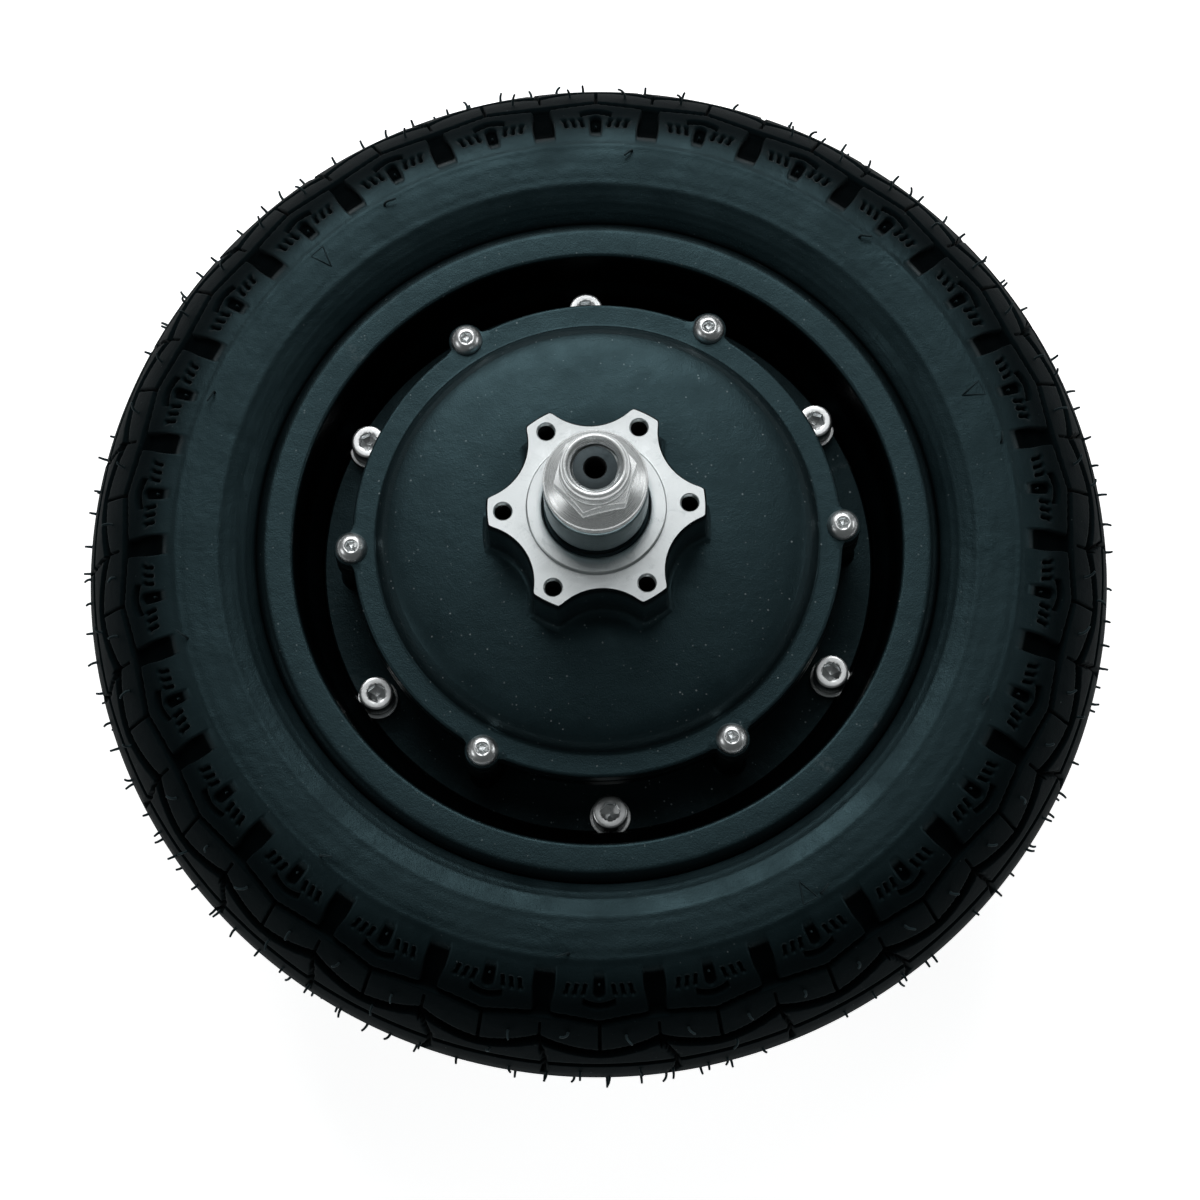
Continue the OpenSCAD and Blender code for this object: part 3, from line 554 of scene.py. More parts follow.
# the half outline from the bead's foot, over the bead, the sidewall and the shoulder to the crown; s = 0 at (81, 22.5)
SIDE = [(83.5, 21.5), (84.4, 22.6), (86.2, 24.1), (88.8, 25.6), (92, 26.5), (96, 27.05), (100, 27.0), (103.2, 26.55), (106, 25.95),
        (109, 24.95), (112.2, 23.35), (115.4, 21.1), (118.4, 18.15), (121, 14.8), (123.2, 11.2), (125, 7.3), (126.35, 3.6), (127, 0)]
CURVE = catmull(SIDE, 0.6)
ARC = arc_table(CURVE) + 2.7
S_END = ARC[-1]


def rubber_at(s):
    return np.interp(s, ARC, CURVE[:, 0]), np.interp(s, ARC, CURVE[:, 1])


def normal_at(s):
    r1, z1 = rubber_at(s - 0.4)
    r2, z2 = rubber_at(s + 0.4)
    L = np.hypot(r2 - r1, z2 - z1)
    return (-(z2 - z1) / L, (r2 - r1) / L)


def tread_depth(u, s, k):
    """Depth cut into the rubber at pitch coordinate u (-0.5..0.5), arc s in mm; k is the pitch number."""
    a = np.abs(u)
    mm = 27.0
    ramp = smooth01((s - 24.6) / 5.2)
    end37 = 1 - smooth01((s - 37.0) / 1.2)
    # wide grooves between the shoulder blocks
    wA = 0.096 - 0.020 * smooth01((s - 30) / 6)
    dA = 2.0 * smooth01((a - (0.5 - wA - 0.012)) / 0.022) * ramp * end37
    # short notch at the middle of each block, with an arched top
    top = 32.6 - 0.9 * (u / 0.05) ** 2
    dB = 1.7 * band(u, 0.05, 0.014) * smooth01((s - 25.6) / 4.6) * (1 - smooth01((s - top) / 0.7))
    # three short sipes each side
    dC = 0
    for c in (0.133, 0.211, 0.289):
        lean = (s - 30.7) * 0.006
        dC = np.maximum(dC, 1.25 * band(a - c - lean, 0.0155, 0.012) * band(s - 30.75, 1.45, 0.7))
    # arched slot over the notch
    arch = 34.8 - 1.0 * (u / 0.14) ** 2
    dD = 1.3 * band(s - arch, 0.8, 0.5) * band(u, 0.145, 0.016)
    # scalloped groove round the shoulder
    scal = 39.5 - 1.85 * np.sin(PI * a)
    dE = 1.8 * band(s - scal, 0.62, 0.5)
    # radial sipes
    dF = 1.5 * band(u, 0.0125, 0.010) * smooth01((s - 39.2) / 0.5) * (1 - smooth01((s - 47.6) / 0.8))
    dG = 1.3 * smooth01((a - 0.486) / 0.008) * smooth01((s - 39.9) / 0.5) * (1 - smooth01((s - 44.8) / 0.7))
    # wavy main groove
    wav = 49.7 - 4.4 * (2 * a) ** 1.6
    dH = 2.25 * band(s - wav, 1.15, 0.7)
    # slanted curved grooves from the wave's trough to the crown, turning the other way every second pitch
    side = np.where(k % 2 == 0, 1.0, -1.0)
    v = ((u + 1.0) % 1.0) - 0.5
    t = np.clip((s - 45.5) / 16.5, 0, 1.05)
    path = (0.11 + 0.03 * side) * np.sin(2.6 * t) - 0.02
    dI = 1.55 * band(v - path, 0.018, 0.013) * smooth01((s - 45.0) / 0.6) * (1 - smooth01((s - 60.5 - side) / 0.8))
    # straight groove by the crown
    dJ = 1.25 * band(s - 54.6, 0.5, 0.4)
    d = np.maximum.reduce([dA, dB, dC, dD, dE, dF, dG, dH, dI, dJ])
    # a faint land round the wide groove's mouth and shallow ridges on the sidewall
    ridge = 0.22 * np.exp(-((s - 13.2) / 1.1) ** 2) + 0.20 * np.exp(-((s - 23.6) / 0.9) ** 2) - 0.16 * np.exp(-((s - 18.2) / 2.4) ** 2)
    fine = 0.12 * np.exp(-((s - 8.6) / 0.35) ** 2) + 0.10 * np.exp(-((s - 6.4) / 0.3) ** 2)
    return d - ridge - fine


def tyre_geo():
    cols = np.array([0, .011, .018, .030, .042, .052, .066, .08, .097, .113, .123, .133, .143, .153, .172, .191, .201, .211, .221, .231, .25, .269,
                     .279, .289, .299, .309, .33, .355, .38, .392, .400, .408, .418, .435, .46, .478, .484, .489, .494])
    U = np.concatenate([-cols[:0:-1], cols, [0.5]])
    nu = len(U)
    s_low = np.concatenate([np.linspace(3.0, 24.4, 46), np.arange(24.8, S_END - 0.2, 0.36), [S_END]])
    th = np.concatenate([NOTCH + (k + U) * PITCH for k in range(PITCHES)])
    uu = np.tile(U, PITCHES)
    kk = np.repeat(np.arange(PITCHES), nu)
    n = len(th)
    rows, deep, start = [], [], [0, 0]
    c, s_ = np.cos(th), np.sin(th)
    # the far side is the same pattern, half a pitch round
    uf = ((uu + 1.0) % 1.0) - 0.5
    kf = np.where(uu >= 0, kk, kk - 1)

    def surf(s, far):
        r, z = rubber_at(s)
        nr, nz = normal_at(s)
        nr, nz = -nr, -nz
        if nz < 0 and s < S_END - 8:
            nr, nz = -nr, -nz
        if nr < 0 and s > 40:
            nr, nz = -nr, -nz
        d = tread_depth(uf if far else uu, np.full(n, s), kf if far else kk)
        deep.append(d)
        rr = r - nr * d
        zz = z - nz * d
        return rr, -zz if far else zz
    # inner face, bead and foot as plain rings; then the outer face
    inner = [(119.8, 0.0), (119.55, 3.6), (118.4, 8.4), (116, 13.6), (112.4, 18), (108, 21.2), (103, 23.2), (98, 23.8), (93, 23.4), (88.6, 21.8), (85, 18.6),
             (82.4, 14.6), (79.6, 12.4)]
    bead = [(79.6, 12.4), (77.6, 12.5), (76.3, 13.4), (76.12, 14.2), (76.12, 18.7), (76.35, 19.3), (76.9, 19.75), (77.7, 19.93), (82.1, 19.93), (83.0, 20.0), (83.4, 20.35)]
    for r, z in inner[:-1]:
        rows.append((np.full(n, r), np.full(n, z)))
    for r, z in bead:
        rows.append((np.full(n, r), np.full(n, z)))
    rows.append((np.full(n, 83.52), np.full(n, 21.0)))
    start[0] = len(rows)
    for s in s_low:
        rows.append(surf(s, False))
    for s in s_low[-2::-1]:
        rows.append(surf(s, True))
    rows.append((np.full(n, 83.52), np.full(n, -21.0)))
    for r, z in bead[::-1]:
        rows.append((np.full(n, r), np.full(n, -z)))
    for r, z in inner[-2:0:-1]:
        rows.append((np.full(n, r), np.full(n, -z)))
    k = len(rows)
    groove = np.zeros((k, n))
    groove[start[0]:start[0] + len(deep)] = np.array(deep)
    R = np.array([r for r, z in rows])
    Z = np.array([z for r, z in rows])
    V = np.stack([R * c, R * s_, Z], 2).reshape(-1, 3)
    i = np.arange(k)[:, None] * n
    j = ((np.arange(k) + 1) % k)[:, None] * n
    a = np.arange(n)[None, :]
    b = ((np.arange(n) + 1) % n)[None, :]
    F = np.stack([i + a, i + b, j + b, j + a], 2).reshape(-1, 4)
    return V, F, groove.ravel()


def build_tyre():
    V, F, groove = tyre_geo()
    me = bpy.data.meshes.new("tyre_casing")
    me.vertices.add(len(V))
    me.vertices.foreach_set("co", (V * 0.001).astype(np.float32).ravel())
    me.loops.add(F.size)
    me.loops.foreach_set("vertex_index", F.astype(np.int32).ravel())
    me.polygons.add(len(F))
    me.polygons.foreach_set("loop_start", np.arange(0, F.size, 4, dtype=np.int32))
    me.update(calc_edges=True)
    me.materials.append(TYRE)
    me.validate()
    at = me.attributes.new("groove", "FLOAT", "POINT")
    at.data.foreach_set("value", np.clip(groove / 1.6, 0, 1).astype(np.float32))
    me.polygons.foreach_set("use_smooth", np.ones(len(me.polygons), bool))
    me.update()
    # outward check by signed volume
    a, b, c, d = (V[F[:, i]] for i in range(4))
    vol = (np.einsum("ij,ij->i", a, np.cross(b, c)) + np.einsum("ij,ij->i", a, np.cross(c, d))).sum() / 6
    if vol < 0:
        me.flip_normals()
    o = bpy.data.objects.new("tyre_casing", me)
    bpy.context.scene.collection.objects.link(o)
    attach(o, "wheel")
    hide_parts("tyre")
    return o


def surface_point(th, s, far=False, lift=0.0):
    r, z = rubber_at(s)
    nr, nz = normal_at(s)
    nr, nz = -nr, -nz
    if (nz < 0 and s < 54) or (nr < 0 and s > 40):
        nr, nz = -nr, -nz
    r, z = r + nr * lift, z + nz * lift
    return np.array([r * cos(th), r * sin(th), -z if far else z])


def vent_hairs():
    """The rubber threads left by the mould's vents, bent over on the crown and the sidewall, with small mould pips."""
    g = Geo()
    rnd = random.Random(11)

    def hair(th, s, far, length, bend, lean, r0=0.30):
        """Stands up from the surface, then bends over: bend is its heading in the surface, 0 along the circumference."""
        base = surface_point(th, s, far, -0.35)
        up = surface_point(th, s, far, 1.0) - surface_point(th, s, far, 0.0)
        up /= np.linalg.norm(up)
        tan = np.array([-sin(th), cos(th), 0])
        acr = np.cross(up, tan)
        d = cos(bend) * tan + sin(bend) * acr
        pts, rad_ = [base], [r0 * 1.5]
        p, ang = base + up * 0.35, 0.0
        steps = 9
        for i in range(steps):
            t = i / (steps - 1)
            ang = min(1.50, lean * t * 1.8)
            dirn = cos(ang) * up + sin(ang) * d
            wob = 0.06 * sin(7 * t + 9 * th)
            p = p + (dirn + wob * np.cross(up, d)) * length / steps
            pts.append(p)
            rad_.append(r0 * (1.15 - 0.25 * t))
        tube(g, pts, rad_, 7)
    for far in (False, True):
        off = PITCH / 2 if far else 0
        for k in range(PITCHES):
            th = NOTCH + k * PITCH + off
            for du, s in ((0.235, 43.6), (-0.27, 42.6)):
                if rnd.random() < 0.82:
                    hair(th + du * PITCH + rnd.uniform(-0.004, 0.004), s + rnd.uniform(-0.6, 0.6), far, rnd.uniform(2.3, 3.6),
                         rnd.choice([0, PI, 0.6, PI - 0.6, -0.5]) + rnd.uniform(-0.4, 0.4), rnd.uniform(0.2, 0.8))
            if rnd.random() < 0.7:
                hair(th + 0.11 * PITCH, 51.5 + rnd.uniform(-0.8, 0.8), far, rnd.uniform(1.8, 2.8), rnd.uniform(0, 2 * PI), rnd.uniform(0.3, 1.0))
            for du in (-0.42, -0.17, 0.04, 0.30):
                if rnd.random() < (0.5 if far else 0.8):
                    hair(th + (du + rnd.uniform(-0.04, 0.04)) * PITCH, rnd.uniform(57.2, 61.8), far, rnd.uniform(1.5, 2.5), rnd.uniform(0, 2 * PI),
                         rnd.choice([0.05, 0.15, 0.3, 0.55]), 0.31)
        for i in range(10):
            th = rad(155.2 - 36.0 * i) + off + rnd.uniform(-0.015, 0.015)
            hair(th, 22.4 + rnd.uniform(-0.3, 0.3), far, rnd.uniform(3.2, 4.2), rnd.uniform(-0.5, 0.9) + (PI if i % 2 else 0), rnd.uniform(1.2, 1.7), 0.28)
        # small moulded triangles that mark the wear bars, and the pips of the vents
        for a in (130.35, 19.65, -63.0):
            th = rad(a) + off
            w, h = 1.8, 2.7
            q = [(-w, -h), (w, -h), (0, h), (-w, -h)]
            pts = []
            for (x1, y1), (x2, y2) in zip(q[:-1], q[1:]):
                for t in np.linspace(0, 1, 8)[:-1]:
                    x, y = x1 + (x2 - x1) * t, y1 + (y2 - y1) * t
                    pts.append(surface_point(th + x / 94.0, 20.2 - y, far, 0.05))
            pts += pts[:2]
            tube(g, pts, [0.17] * len(pts), 6, cap=False)
        for i in range(26):
            th = NOTCH + i * PITCH + off
            tube(g, [surface_point(th, 29.6, far, -1.6), surface_point(th, 29.6, far, -0.9), surface_point(th, 29.5, far, -0.35)], [0.36, 0.34, 0.22], 8)
    return g

# ------------------------------------------------------------------ rim, shell, cover
RIM = [(56.1, 1.3), (68.4, 1.3), (68.4, 7.2), (68.9, 8.5), (70.2, 9.7), (72, 10.8), (72.9, 12.2), (73.2, 14), (73.8, 20.6), (74.1, 22.8), (74.45, 23.45), (75, 23.7),
       (80.7, 23.7), (81.9, 23.4), (82.8, 22.8), (83.3, 22), (83.4, 21.2), (83.1, 20.5), (82.2, 20.05), (77.6, 20), (76.5, 19.6), (76, 18.9), (76, 12.6), (75, 10.6),
       (72, 7.7), (71.3, 6.9), (71.3, -12.3), (72.2, -12.9), (75.4, -13.5), (76, -14.2), (76, -18.9), (76.5, -19.6), (77.6, -20), (82.2, -20.05), (83.1, -20.5),
       (83.4, -21.2), (83.3, -22), (82.8, -22.8), (81.9, -23.4), (80.7, -23.7), (75, -23.7), (74.45, -23.45), (74.1, -22.8), (73.8, -20.6), (73.2, -16.6),
       (72.6, -15.6), (69.6, -14.8), (68.5, -13.8), (68.3, -12.6), (68.3, -4.1), (67.5, -3.3), (56.1, -3.3)]


def rim_geo():
    g = Geo()
    prof = rounded(RIM, 0.5)
    # the web's flat faces are made apart, with the screw holes in them
    i0 = next(i for i, p in enumerate(prof) if p[0] > 67.6)
    i1 = max(i for i, p in enumerate(prof) if p[1] < -3.2 and p[0] > 67.0)
    n = 384
    lathe(g, prof[i0:i1 + 1], n)
    for z, up in ((1.3, True), (-3.3, False)):
        ro = prof[i0][0] if up else prof[i1][0]
        zz = prof[i0][1] if up else prof[i1][1]
        outer = circle(0, 0, ro, n)
        holes = [circle(0, 0, 56.1, 288)]
        lip = []
        for k in range(6):
            a = rad(30 + 60 * k)
            h = circle(64.3 * cos(a), 64.3 * sin(a), 2.85, 40)
            holes.append(h)
            lip.append((h, circle(64.3 * cos(a), 64.3 * sin(a), 2.55, 40)))
        plate(g, outer, holes, zz, up)
        for h, s in lip:
            walls(g, h, zz, s, zz - 0.3 if up else zz + 0.3, flip=up)
    for k in range(6):
        a = rad(30 + 60 * k)
        s = circle(64.3 * cos(a), 64.3 * sin(a), 2.55, 40)
        walls(g, s, 1.0, s, -3.0)
    walls(g, circle(0, 0, 56.1, 288), 1.3, circle(0, 0, 56.1, 288), -3.3)
    return g


def ear(g, z0, z1, r, px, py, inner, n=64, dome=0.0, hole=2.1, low=True):
    """A round lug that stands out of a ring: a lathe about its own axis, with a rolled upper edge."""
    e = 0.55
    prof = [(r, z0)] if low else []
    prof += [(r, z1 - e), (r - 0.08, z1 - e * 0.55), (r - 0.25, z1 - e * 0.2), (r - e, z1), (hole + 0.3, z1 + dome), (hole, z1 - 0.3 + dome), (hole, z0)]
    lathe(g, prof, n, centre=(px, py))


def shell_geo():
    g = Geo()
    out = [(51.0, 25.2), (59.0, 25.2), (59.4, 24.8), (59.4, 20.9), (58.6, 20.2), (56, 18.4), (55.5, 17.4), (55.5, 6.6), (55.9, 5.7), (56.8, 5.3)]
    low = [(67.6, 5.3), (68.1, 4.8), (68.1, 1.35), (56, 1.35), (56, -3.8), (55.5, -4.4), (55.5, -25), (54.9, -27.4), (53.4, -29.4), (51.2, -30.6), (48.6, -31), (40, -31.75),
           (30, -32.4), (24.5, -33.4), (22.3, -34.6), (21.2, -36.6), (20.6, -40.6), (20, -41.2), (13.0, -41.2), (13.0, -35.0), (15.02, -35.0), (15.02, -28.0),
           (18.5, -27.6), (22, -27.2), (30, -27.0), (47.0, -26.6), (49.0, -25.6), (49.6, -23.6), (49.6, 10.9), (51.0, 10.9), (51.0, 25.2)]
    a = rounded(out, 0.5)
    b = rounded(low, 0.6)
    lathe(g, a, 384)
    lathe(g, b, 384)
    holes, lip = [circle(0, 0, a[-1][0], 384)], []
    for k in range(6):
        t = rad(30 + 60 * k)
        h = circle(64.3 * cos(t), 64.3 * sin(t), 3.1, 40)
        s = circle(64.3 * cos(t), 64.3 * sin(t), 2.8, 40)
        holes.append(h)
        walls(g, h, 5.3, s, 5.0, flip=True)
        walls(g, s, 5.0, s, 1.35, flip=True)
    plate(g, circle(0, 0, b[0][0], 384), holes, 5.3, True)
    # lugs and posts under the cover's screws
    for k in range(6):
        t = rad(60 * k)
        x, y = 59.5 * cos(t), 59.5 * sin(t)
        lathe(g, [(4.35 - 0.5, 25.2), (4.35 - 0.15, 25.05), (4.35, 24.7), (4.35, 18.0), (4.2, 17.4), (3.75, 17.0), (3.6, 16.6), (3.6, 6.4), (3.8, 5.7), (4.4, 5.25)], 64, centre=(x, y))
        lathe(g, [(0.02, 25.2), (4.35 - 0.5, 25.2)], 64, centre=(x, y))
        # webs that blend the post into the shell's wall
        for sgn in (1, -1):
            q = []
            for f in np.linspace(0, 1, 7):
                ang = sgn * (3.0 * f ** 0.6 + 1.5) / 59.5
                q.append((f, ang))
            V, F = [], []
            for f, ang in q:
                r = 56.2 + (59.0 - 56.2) * (1 - f) ** 2
                for z in (5.4, 17.2):
                    V.append((r * cos(t + ang), r * sin(t + ang), z))
            for i in range(len(q) - 1):
                F.append((2 * i, 2 * i + 2, 2 * i + 3, 2 * i + 1))
            g.add(V, F)
    return g


def star_radius(th, R=26.0, rs=14.55, cs=34.75, fillet=1.1):
    """Outline of the six-lobed disc seat."""
    a = (th - rad(30) + rad(30)) % rad(60) - rad(30)
    # a: angle from the nearest scoop's centre line
    s = cs * np.sin(np.abs(a))
    inside = s < rs
    scoop = np.where(inside, cs * np.cos(a) - np.sqrt(np.maximum(rs * rs - s * s, 0)), 1e3)
    return smin(np.full_like(th, R), scoop, fillet)


def star_theta(n=1440):
    return np.linspace(0, 2 * PI, n, endpoint=False)


def cover_geo():
    g = Geo()
    th = star_theta(1440)
    phase = 0.0
    c, s = np.cos(th), np.sin(th)
    R0 = star_radius((th - phase) + PI * 4)
    # outer face of the domed panel, out to the ring and down its edge
    dome = [(27.5, 37.6), (30.5, 37.5), (34, 37.25), (37.5, 36.9), (41, 36.5), (44, 36.1), (46.5, 35.65), (48.6, 35.2), (50.3, 34.5), (51.7, 33.4), (52.6, 32.2), (53.25, 30.9),
            (53.5, 30.25), (53.9, 29.95), (54.4, 29.9), (58.7, 29.9), (59.15, 29.78), (59.4, 29.4), (59.4, 25.7), (50.9, 25.7)]
    dome = rounded(dome, 0.35)
    lathe(g, dome, th=th[::3])
    # the seat's foot: a fillet from the panel up the scooped wall, then a chamfered edge
    prof = [(2.6, 37.6), (1.9, 37.62), (1.25, 37.78), (0.72, 38.15), (0.32, 38.75), (0.1, 39.6), (0.0, 40.8), (0.0, 44.0), (0.0, 48.0), (0.0, 52.0), (0.0, 54.6), (0.0, 55.55)]
    rings = []
    for off, z in prof:
        rings.append((np.minimum(star_radius((th - phase) + PI * 4, 26.0 + off, 14.55 - off, 34.75, 1.1 + off * 0.4), 27.46), z))
    rings.append((R0 - 0.14, 55.84))
    rings.append((R0 - 0.42, 56.0))
    lathe(g, rings, th=th)
    # flat panel between the seat's foot and the dome's start
    lathe(g, [(27.5, 37.6), (rings[0][0], 37.6)], th=th)
    g2 = Geo()
    # machined top face with six tapped holes, then the pilot ring
    outer = [((R0[i] - 0.42) * c[i], (R0[i] - 0.42) * s[i]) for i in range(0, 1440, 2)]
    holes = [circle(0, 0, 16.95, 240)]
    for k in range(6):
        t = rad(60 * k)
        x, y = 22 * cos(t), 22 * sin(t)
        h = circle(x, y, 2.32, 48)
        holes.append(h)
        lathe(g2, [(2.32, 56.0), (2.12, 55.8)], 48, centre=(x, y))
        # thread: a helix of rings
        pts = []
        z = 55.62
        i = 0
        nt = 48
        tha = np.linspace(0, 2 * PI, nt, endpoint=False)
        rr = []
        # painted shade: below its first turns the thread and the hole's floor take the near-black hole material
        for j in range(60):
            ph = (j * 0.2 - tha / (2 * PI) * 0.8) / 0.8
            tri = np.abs((ph % 1.0) * 2 - 1)
            rr.append((1.98 + 0.32 * tri, 55.7 - j * 0.2, 2 if j > 9 else 1))
        lathe(g2, [(2.12, 55.8, 1)] + rr + [(1.6, 43.2, 2), (0.02, 42.2, 2)], th=tha, centre=(x, y))
    plate(g2, outer, holes, 56.0, True)
    lathe(g2, [(16.95, 56.0), (16.6, 56.02), (16.5, 56.12), (16.5, 57.1), (16.42, 57.35), (16.2, 57.5), (15.75, 57.5), (14.6, 57.5), (13.2, 57.5), (12.95, 57.42), (12.78, 57.2), (12.75, 56.9), (12.75, 55.9), (12.75, 50.0), (14.02, 50.0), (14.02, 43.0), (15.4, 42.6), (15.4, 33.6)], 360)
    g2.m = [m if m else 1 for m in g2.m]
    g.joined(g2)
    # inside of the cover
    inner = rounded([(15.4, 33.6), (27.5, 33.5), (34, 33.1), (41, 32.2), (45.4, 31.0), (47.0, 29.4), (47.6, 27.0), (47.6, 23.7), (50.6, 23.7), (50.9, 24.0), (50.9, 25.7)], 0.4)
    lathe(g, inner, 240)
    # lugs: a round lug out of the ring with a wide fillet to the ring's edge
    for k in range(6):
        t = rad(60 * k)
        x, y = 59.5 * cos(t), 59.5 * sin(t)
        lathe(g, [(3.9, 25.7), (4.2, 25.8), (4.35, 26.1), (4.35, 29.35), (4.26, 29.65), (4.05, 29.85), (3.75, 29.93), (2.2, 29.93), (2.2, 25.7), (3.9, 25.7)], 72, centre=(x, y))
        for sgn in (1, -1):
            V, F = [], []
            ks = 9
            # the fillet's concave curve between the lug and the ring
            a0 = sgn * 0.088
            for f in np.linspace(0, 1, ks):
                ang = a0 * (0.62 + 0.52 * f)
                r = 59.35 + 1.55 * (1 - f) ** 2.2
                for rr, z in ((57.0, 29.905), (r - 0.35, 29.905), (r - 0.1, 29.8), (r, 29.5), (r, 25.75), (57.0, 25.72)):
                    V.append((rr * cos(t + ang), rr * sin(t + ang), z))
            for i in range(ks - 1):
                for j in range(5):
                    q = (6 * i + j, 6 * i + j + 1, 6 * i + j + 7, 6 * i + j + 6)
                    F.append(q if sgn < 0 else tuple(reversed(q)))
            g.add(V, F)
    return g


# ------------------------------------------------------------------ fasteners and axle


def hexr(th, af, phase=0.0, soft=0.0):
    a = (th - phase) % (PI / 3) - PI / 6
    r = af / 2 / np.cos(a)
    return r - soft * smooth01((np.abs(a) - rad(24)) / rad(6)) if soft else r


def socket(g, af, z_top, depth, th, phase, r_out, mi=0):
    """The hex socket's mouth, walls and floor, from a flat of radius r_out."""
    H = hexr(th, af, phase)
    n = len(th)
    base = np.full(n, 1.0)
    rings = [(base * r_out, z_top), (np.maximum(H + 0.22, base * (af / 2 + 0.34)), z_top - 0.02), (H + 0.06, z_top - 0.16), (H, z_top - 0.30), (H, z_top - depth + 0.05),
             (H * 0.93, z_top - depth), (H * 0.5, z_top - depth - 0.35), (H * 0.02, z_top - depth - 0.8)]
    lathe(g, rings, th=th, mi=mi)


def button_head(phase):
    g = Geo()
    th = np.linspace(0, 2 * PI, 96, endpoint=False)
    prof = [(2.0, -11.98), (2.0, -0.4), (2.1, 0.0), (3.62, 0.0), (3.78, 0.08), (3.84, 0.24), (3.8, 0.42), (3.62, 0.84), (3.32, 1.28), (2.92, 1.68), (2.42, 1.98), (2.0, 2.14), (1.78, 2.2)]
    lathe(g, prof, th=th, caps=(True, False))
    socket(g, 2.5, 2.2, 1.5, th, phase, 1.78)
    return g


def cap_head(phase):
    g = Geo()
    n = 144
    th = np.linspace(0, 2 * PI, n, endpoint=False)
    kn = 0.07 * (np.abs(((th / (2 * PI) * 36) % 1.0) * 2 - 1) ** 1.5)
    one = np.ones(n)
    # threaded shank
    rows = [(one * 1.6, -11.0), (one * 2.1, -10.6)]
    for j in range(54):
        z = -10.6 + j * 0.185
        ph = ((j * 0.185 - th / (2 * PI) * 0.8) / 0.8) % 1.0
        rows.append((2.12 + 0.36 * np.abs(ph * 2 - 1), z))
    rows += [(one * 2.5, -0.5), (one * 2.65, 0.0), (one * 4.0, 0.0), (one * 4.2 - kn, 0.12), (4.25 - kn, 0.4), (4.25 - kn, 1.6), (4.25 - kn, 3.0), (4.25 - kn, 4.2), (one * 4.2 - kn * 0.4, 4.55),
             (one * 4.05, 4.82), (one * 3.78, 4.97), (one * 3.5, 5.0), (one * 2.75, 5.0)]
    lathe(g, rows, th=th, caps=(True, False))
    socket(g, 4.0, 5.0, 2.6, th, phase, 2.75)
    return g


def spring_washer():
    g = Geo()
    n = 72
    gap = 0.14
    th = np.linspace(gap, 2 * PI - gap, n)
    V, F = [], []
    for i, t in enumerate(th):
        rise = 0.24 * (i / (n - 1) - 0.5)
        for r, z in ((2.62, 0.02), (4.22, 0.0), (4.3, 0.1), (4.3, 0.92), (4.22, 1.02), (2.62, 1.0)):
            V.append((r * cos(t), r * sin(t), z + rise + 0.12))
    for i in range(n - 1):
        for j in range(6):
            F.append((6 * i + j, 6 * i + (j + 1) % 6, 6 * i + 6 + (j + 1) % 6, 6 * i + 6 + j))
    F.append((5, 4, 3, 2, 1, 0))
    F.append(tuple(6 * (n - 1) + j for j in range(6)))
    return g.add(V, F)


def flat_washer():
    g = Geo()
    return lathe(g, rounded([(2.65, 0), (5.0, 0), (5.0, 1.0), (2.65, 1.0)], 0.16, closed=True), 72, closed=True)


def placed(one_of, count, r, z, a0, phases):
    g = Geo()
    for k in range(count):
        part = one_of(rad(phases[k])) if phases else one_of()
        g.joined(part, rotz(a0 + 60 * k) @ Matrix.Translation((r, 0, z)))
    return g


def nut_geo():
    """Flange nut with a cone, a hexagon with turned corners, and a plain collar whose bore is threaded."""
    g = Geo()
    n = 360
    th = np.linspace(0, 2 * PI, n, endpoint=False)
    one = np.ones(n)
    H = hexr(th - rad(11), 17)
    fl = [(6.05, 75.0), (11.5, 75.02), (11.95, 75.3), (12.1, 75.9), (12.1, 77.7), (12.02, 78.05), (11.8, 78.4), (11.5, 78.62)]
    rings = [(one * r, z) for r, z in rounded(fl, 0.12)]
    for z in list(np.arange(78.8, 80.75, 0.12)) + [81, 81.6, 82.3] + list(np.arange(82.7, 85.2, 0.16)) + [85.2]:
        cone = 11.2 - (z - 78.8) * 3.1 / 1.8
        top = 9.95 - (z - 83.2) * 1.65 / 2.0
        body = np.minimum(H, one * top) if z > 82.9 else H
        rings.append((smax(body, one * max(cone, 7.0), 0.25), z))
    rings += [(one * 8.2, 85.3), (one * 8.12, 85.36), (one * 8.1, 85.5)]
    col = [(8.1, 86.7), (8.0, 86.78), (8.0, 86.98), (8.1, 87.06), (8.1, 88.4), (7.98, 89.0), (7.75, 89.5), (7.45, 89.85), (7.25, 89.97), (7.05, 90.0), (6.75, 89.98), (6.55, 89.9), (6.1, 89.2)]
    rings += [(one * r, z) for r, z in col]
    for j in range(76):
        z = 89.1 - j * 0.185
        t = ((j * 0.185 + th / (2 * PI) * 1.25) / 1.25) % 1.0
        rings.append((5.72 + 0.38 * np.abs(t * 2 - 1), z))
    rings += [(one * 6.05, 75.05), (one * 6.05, 75.0)]
    lathe(g, rings, th=th)
    return g


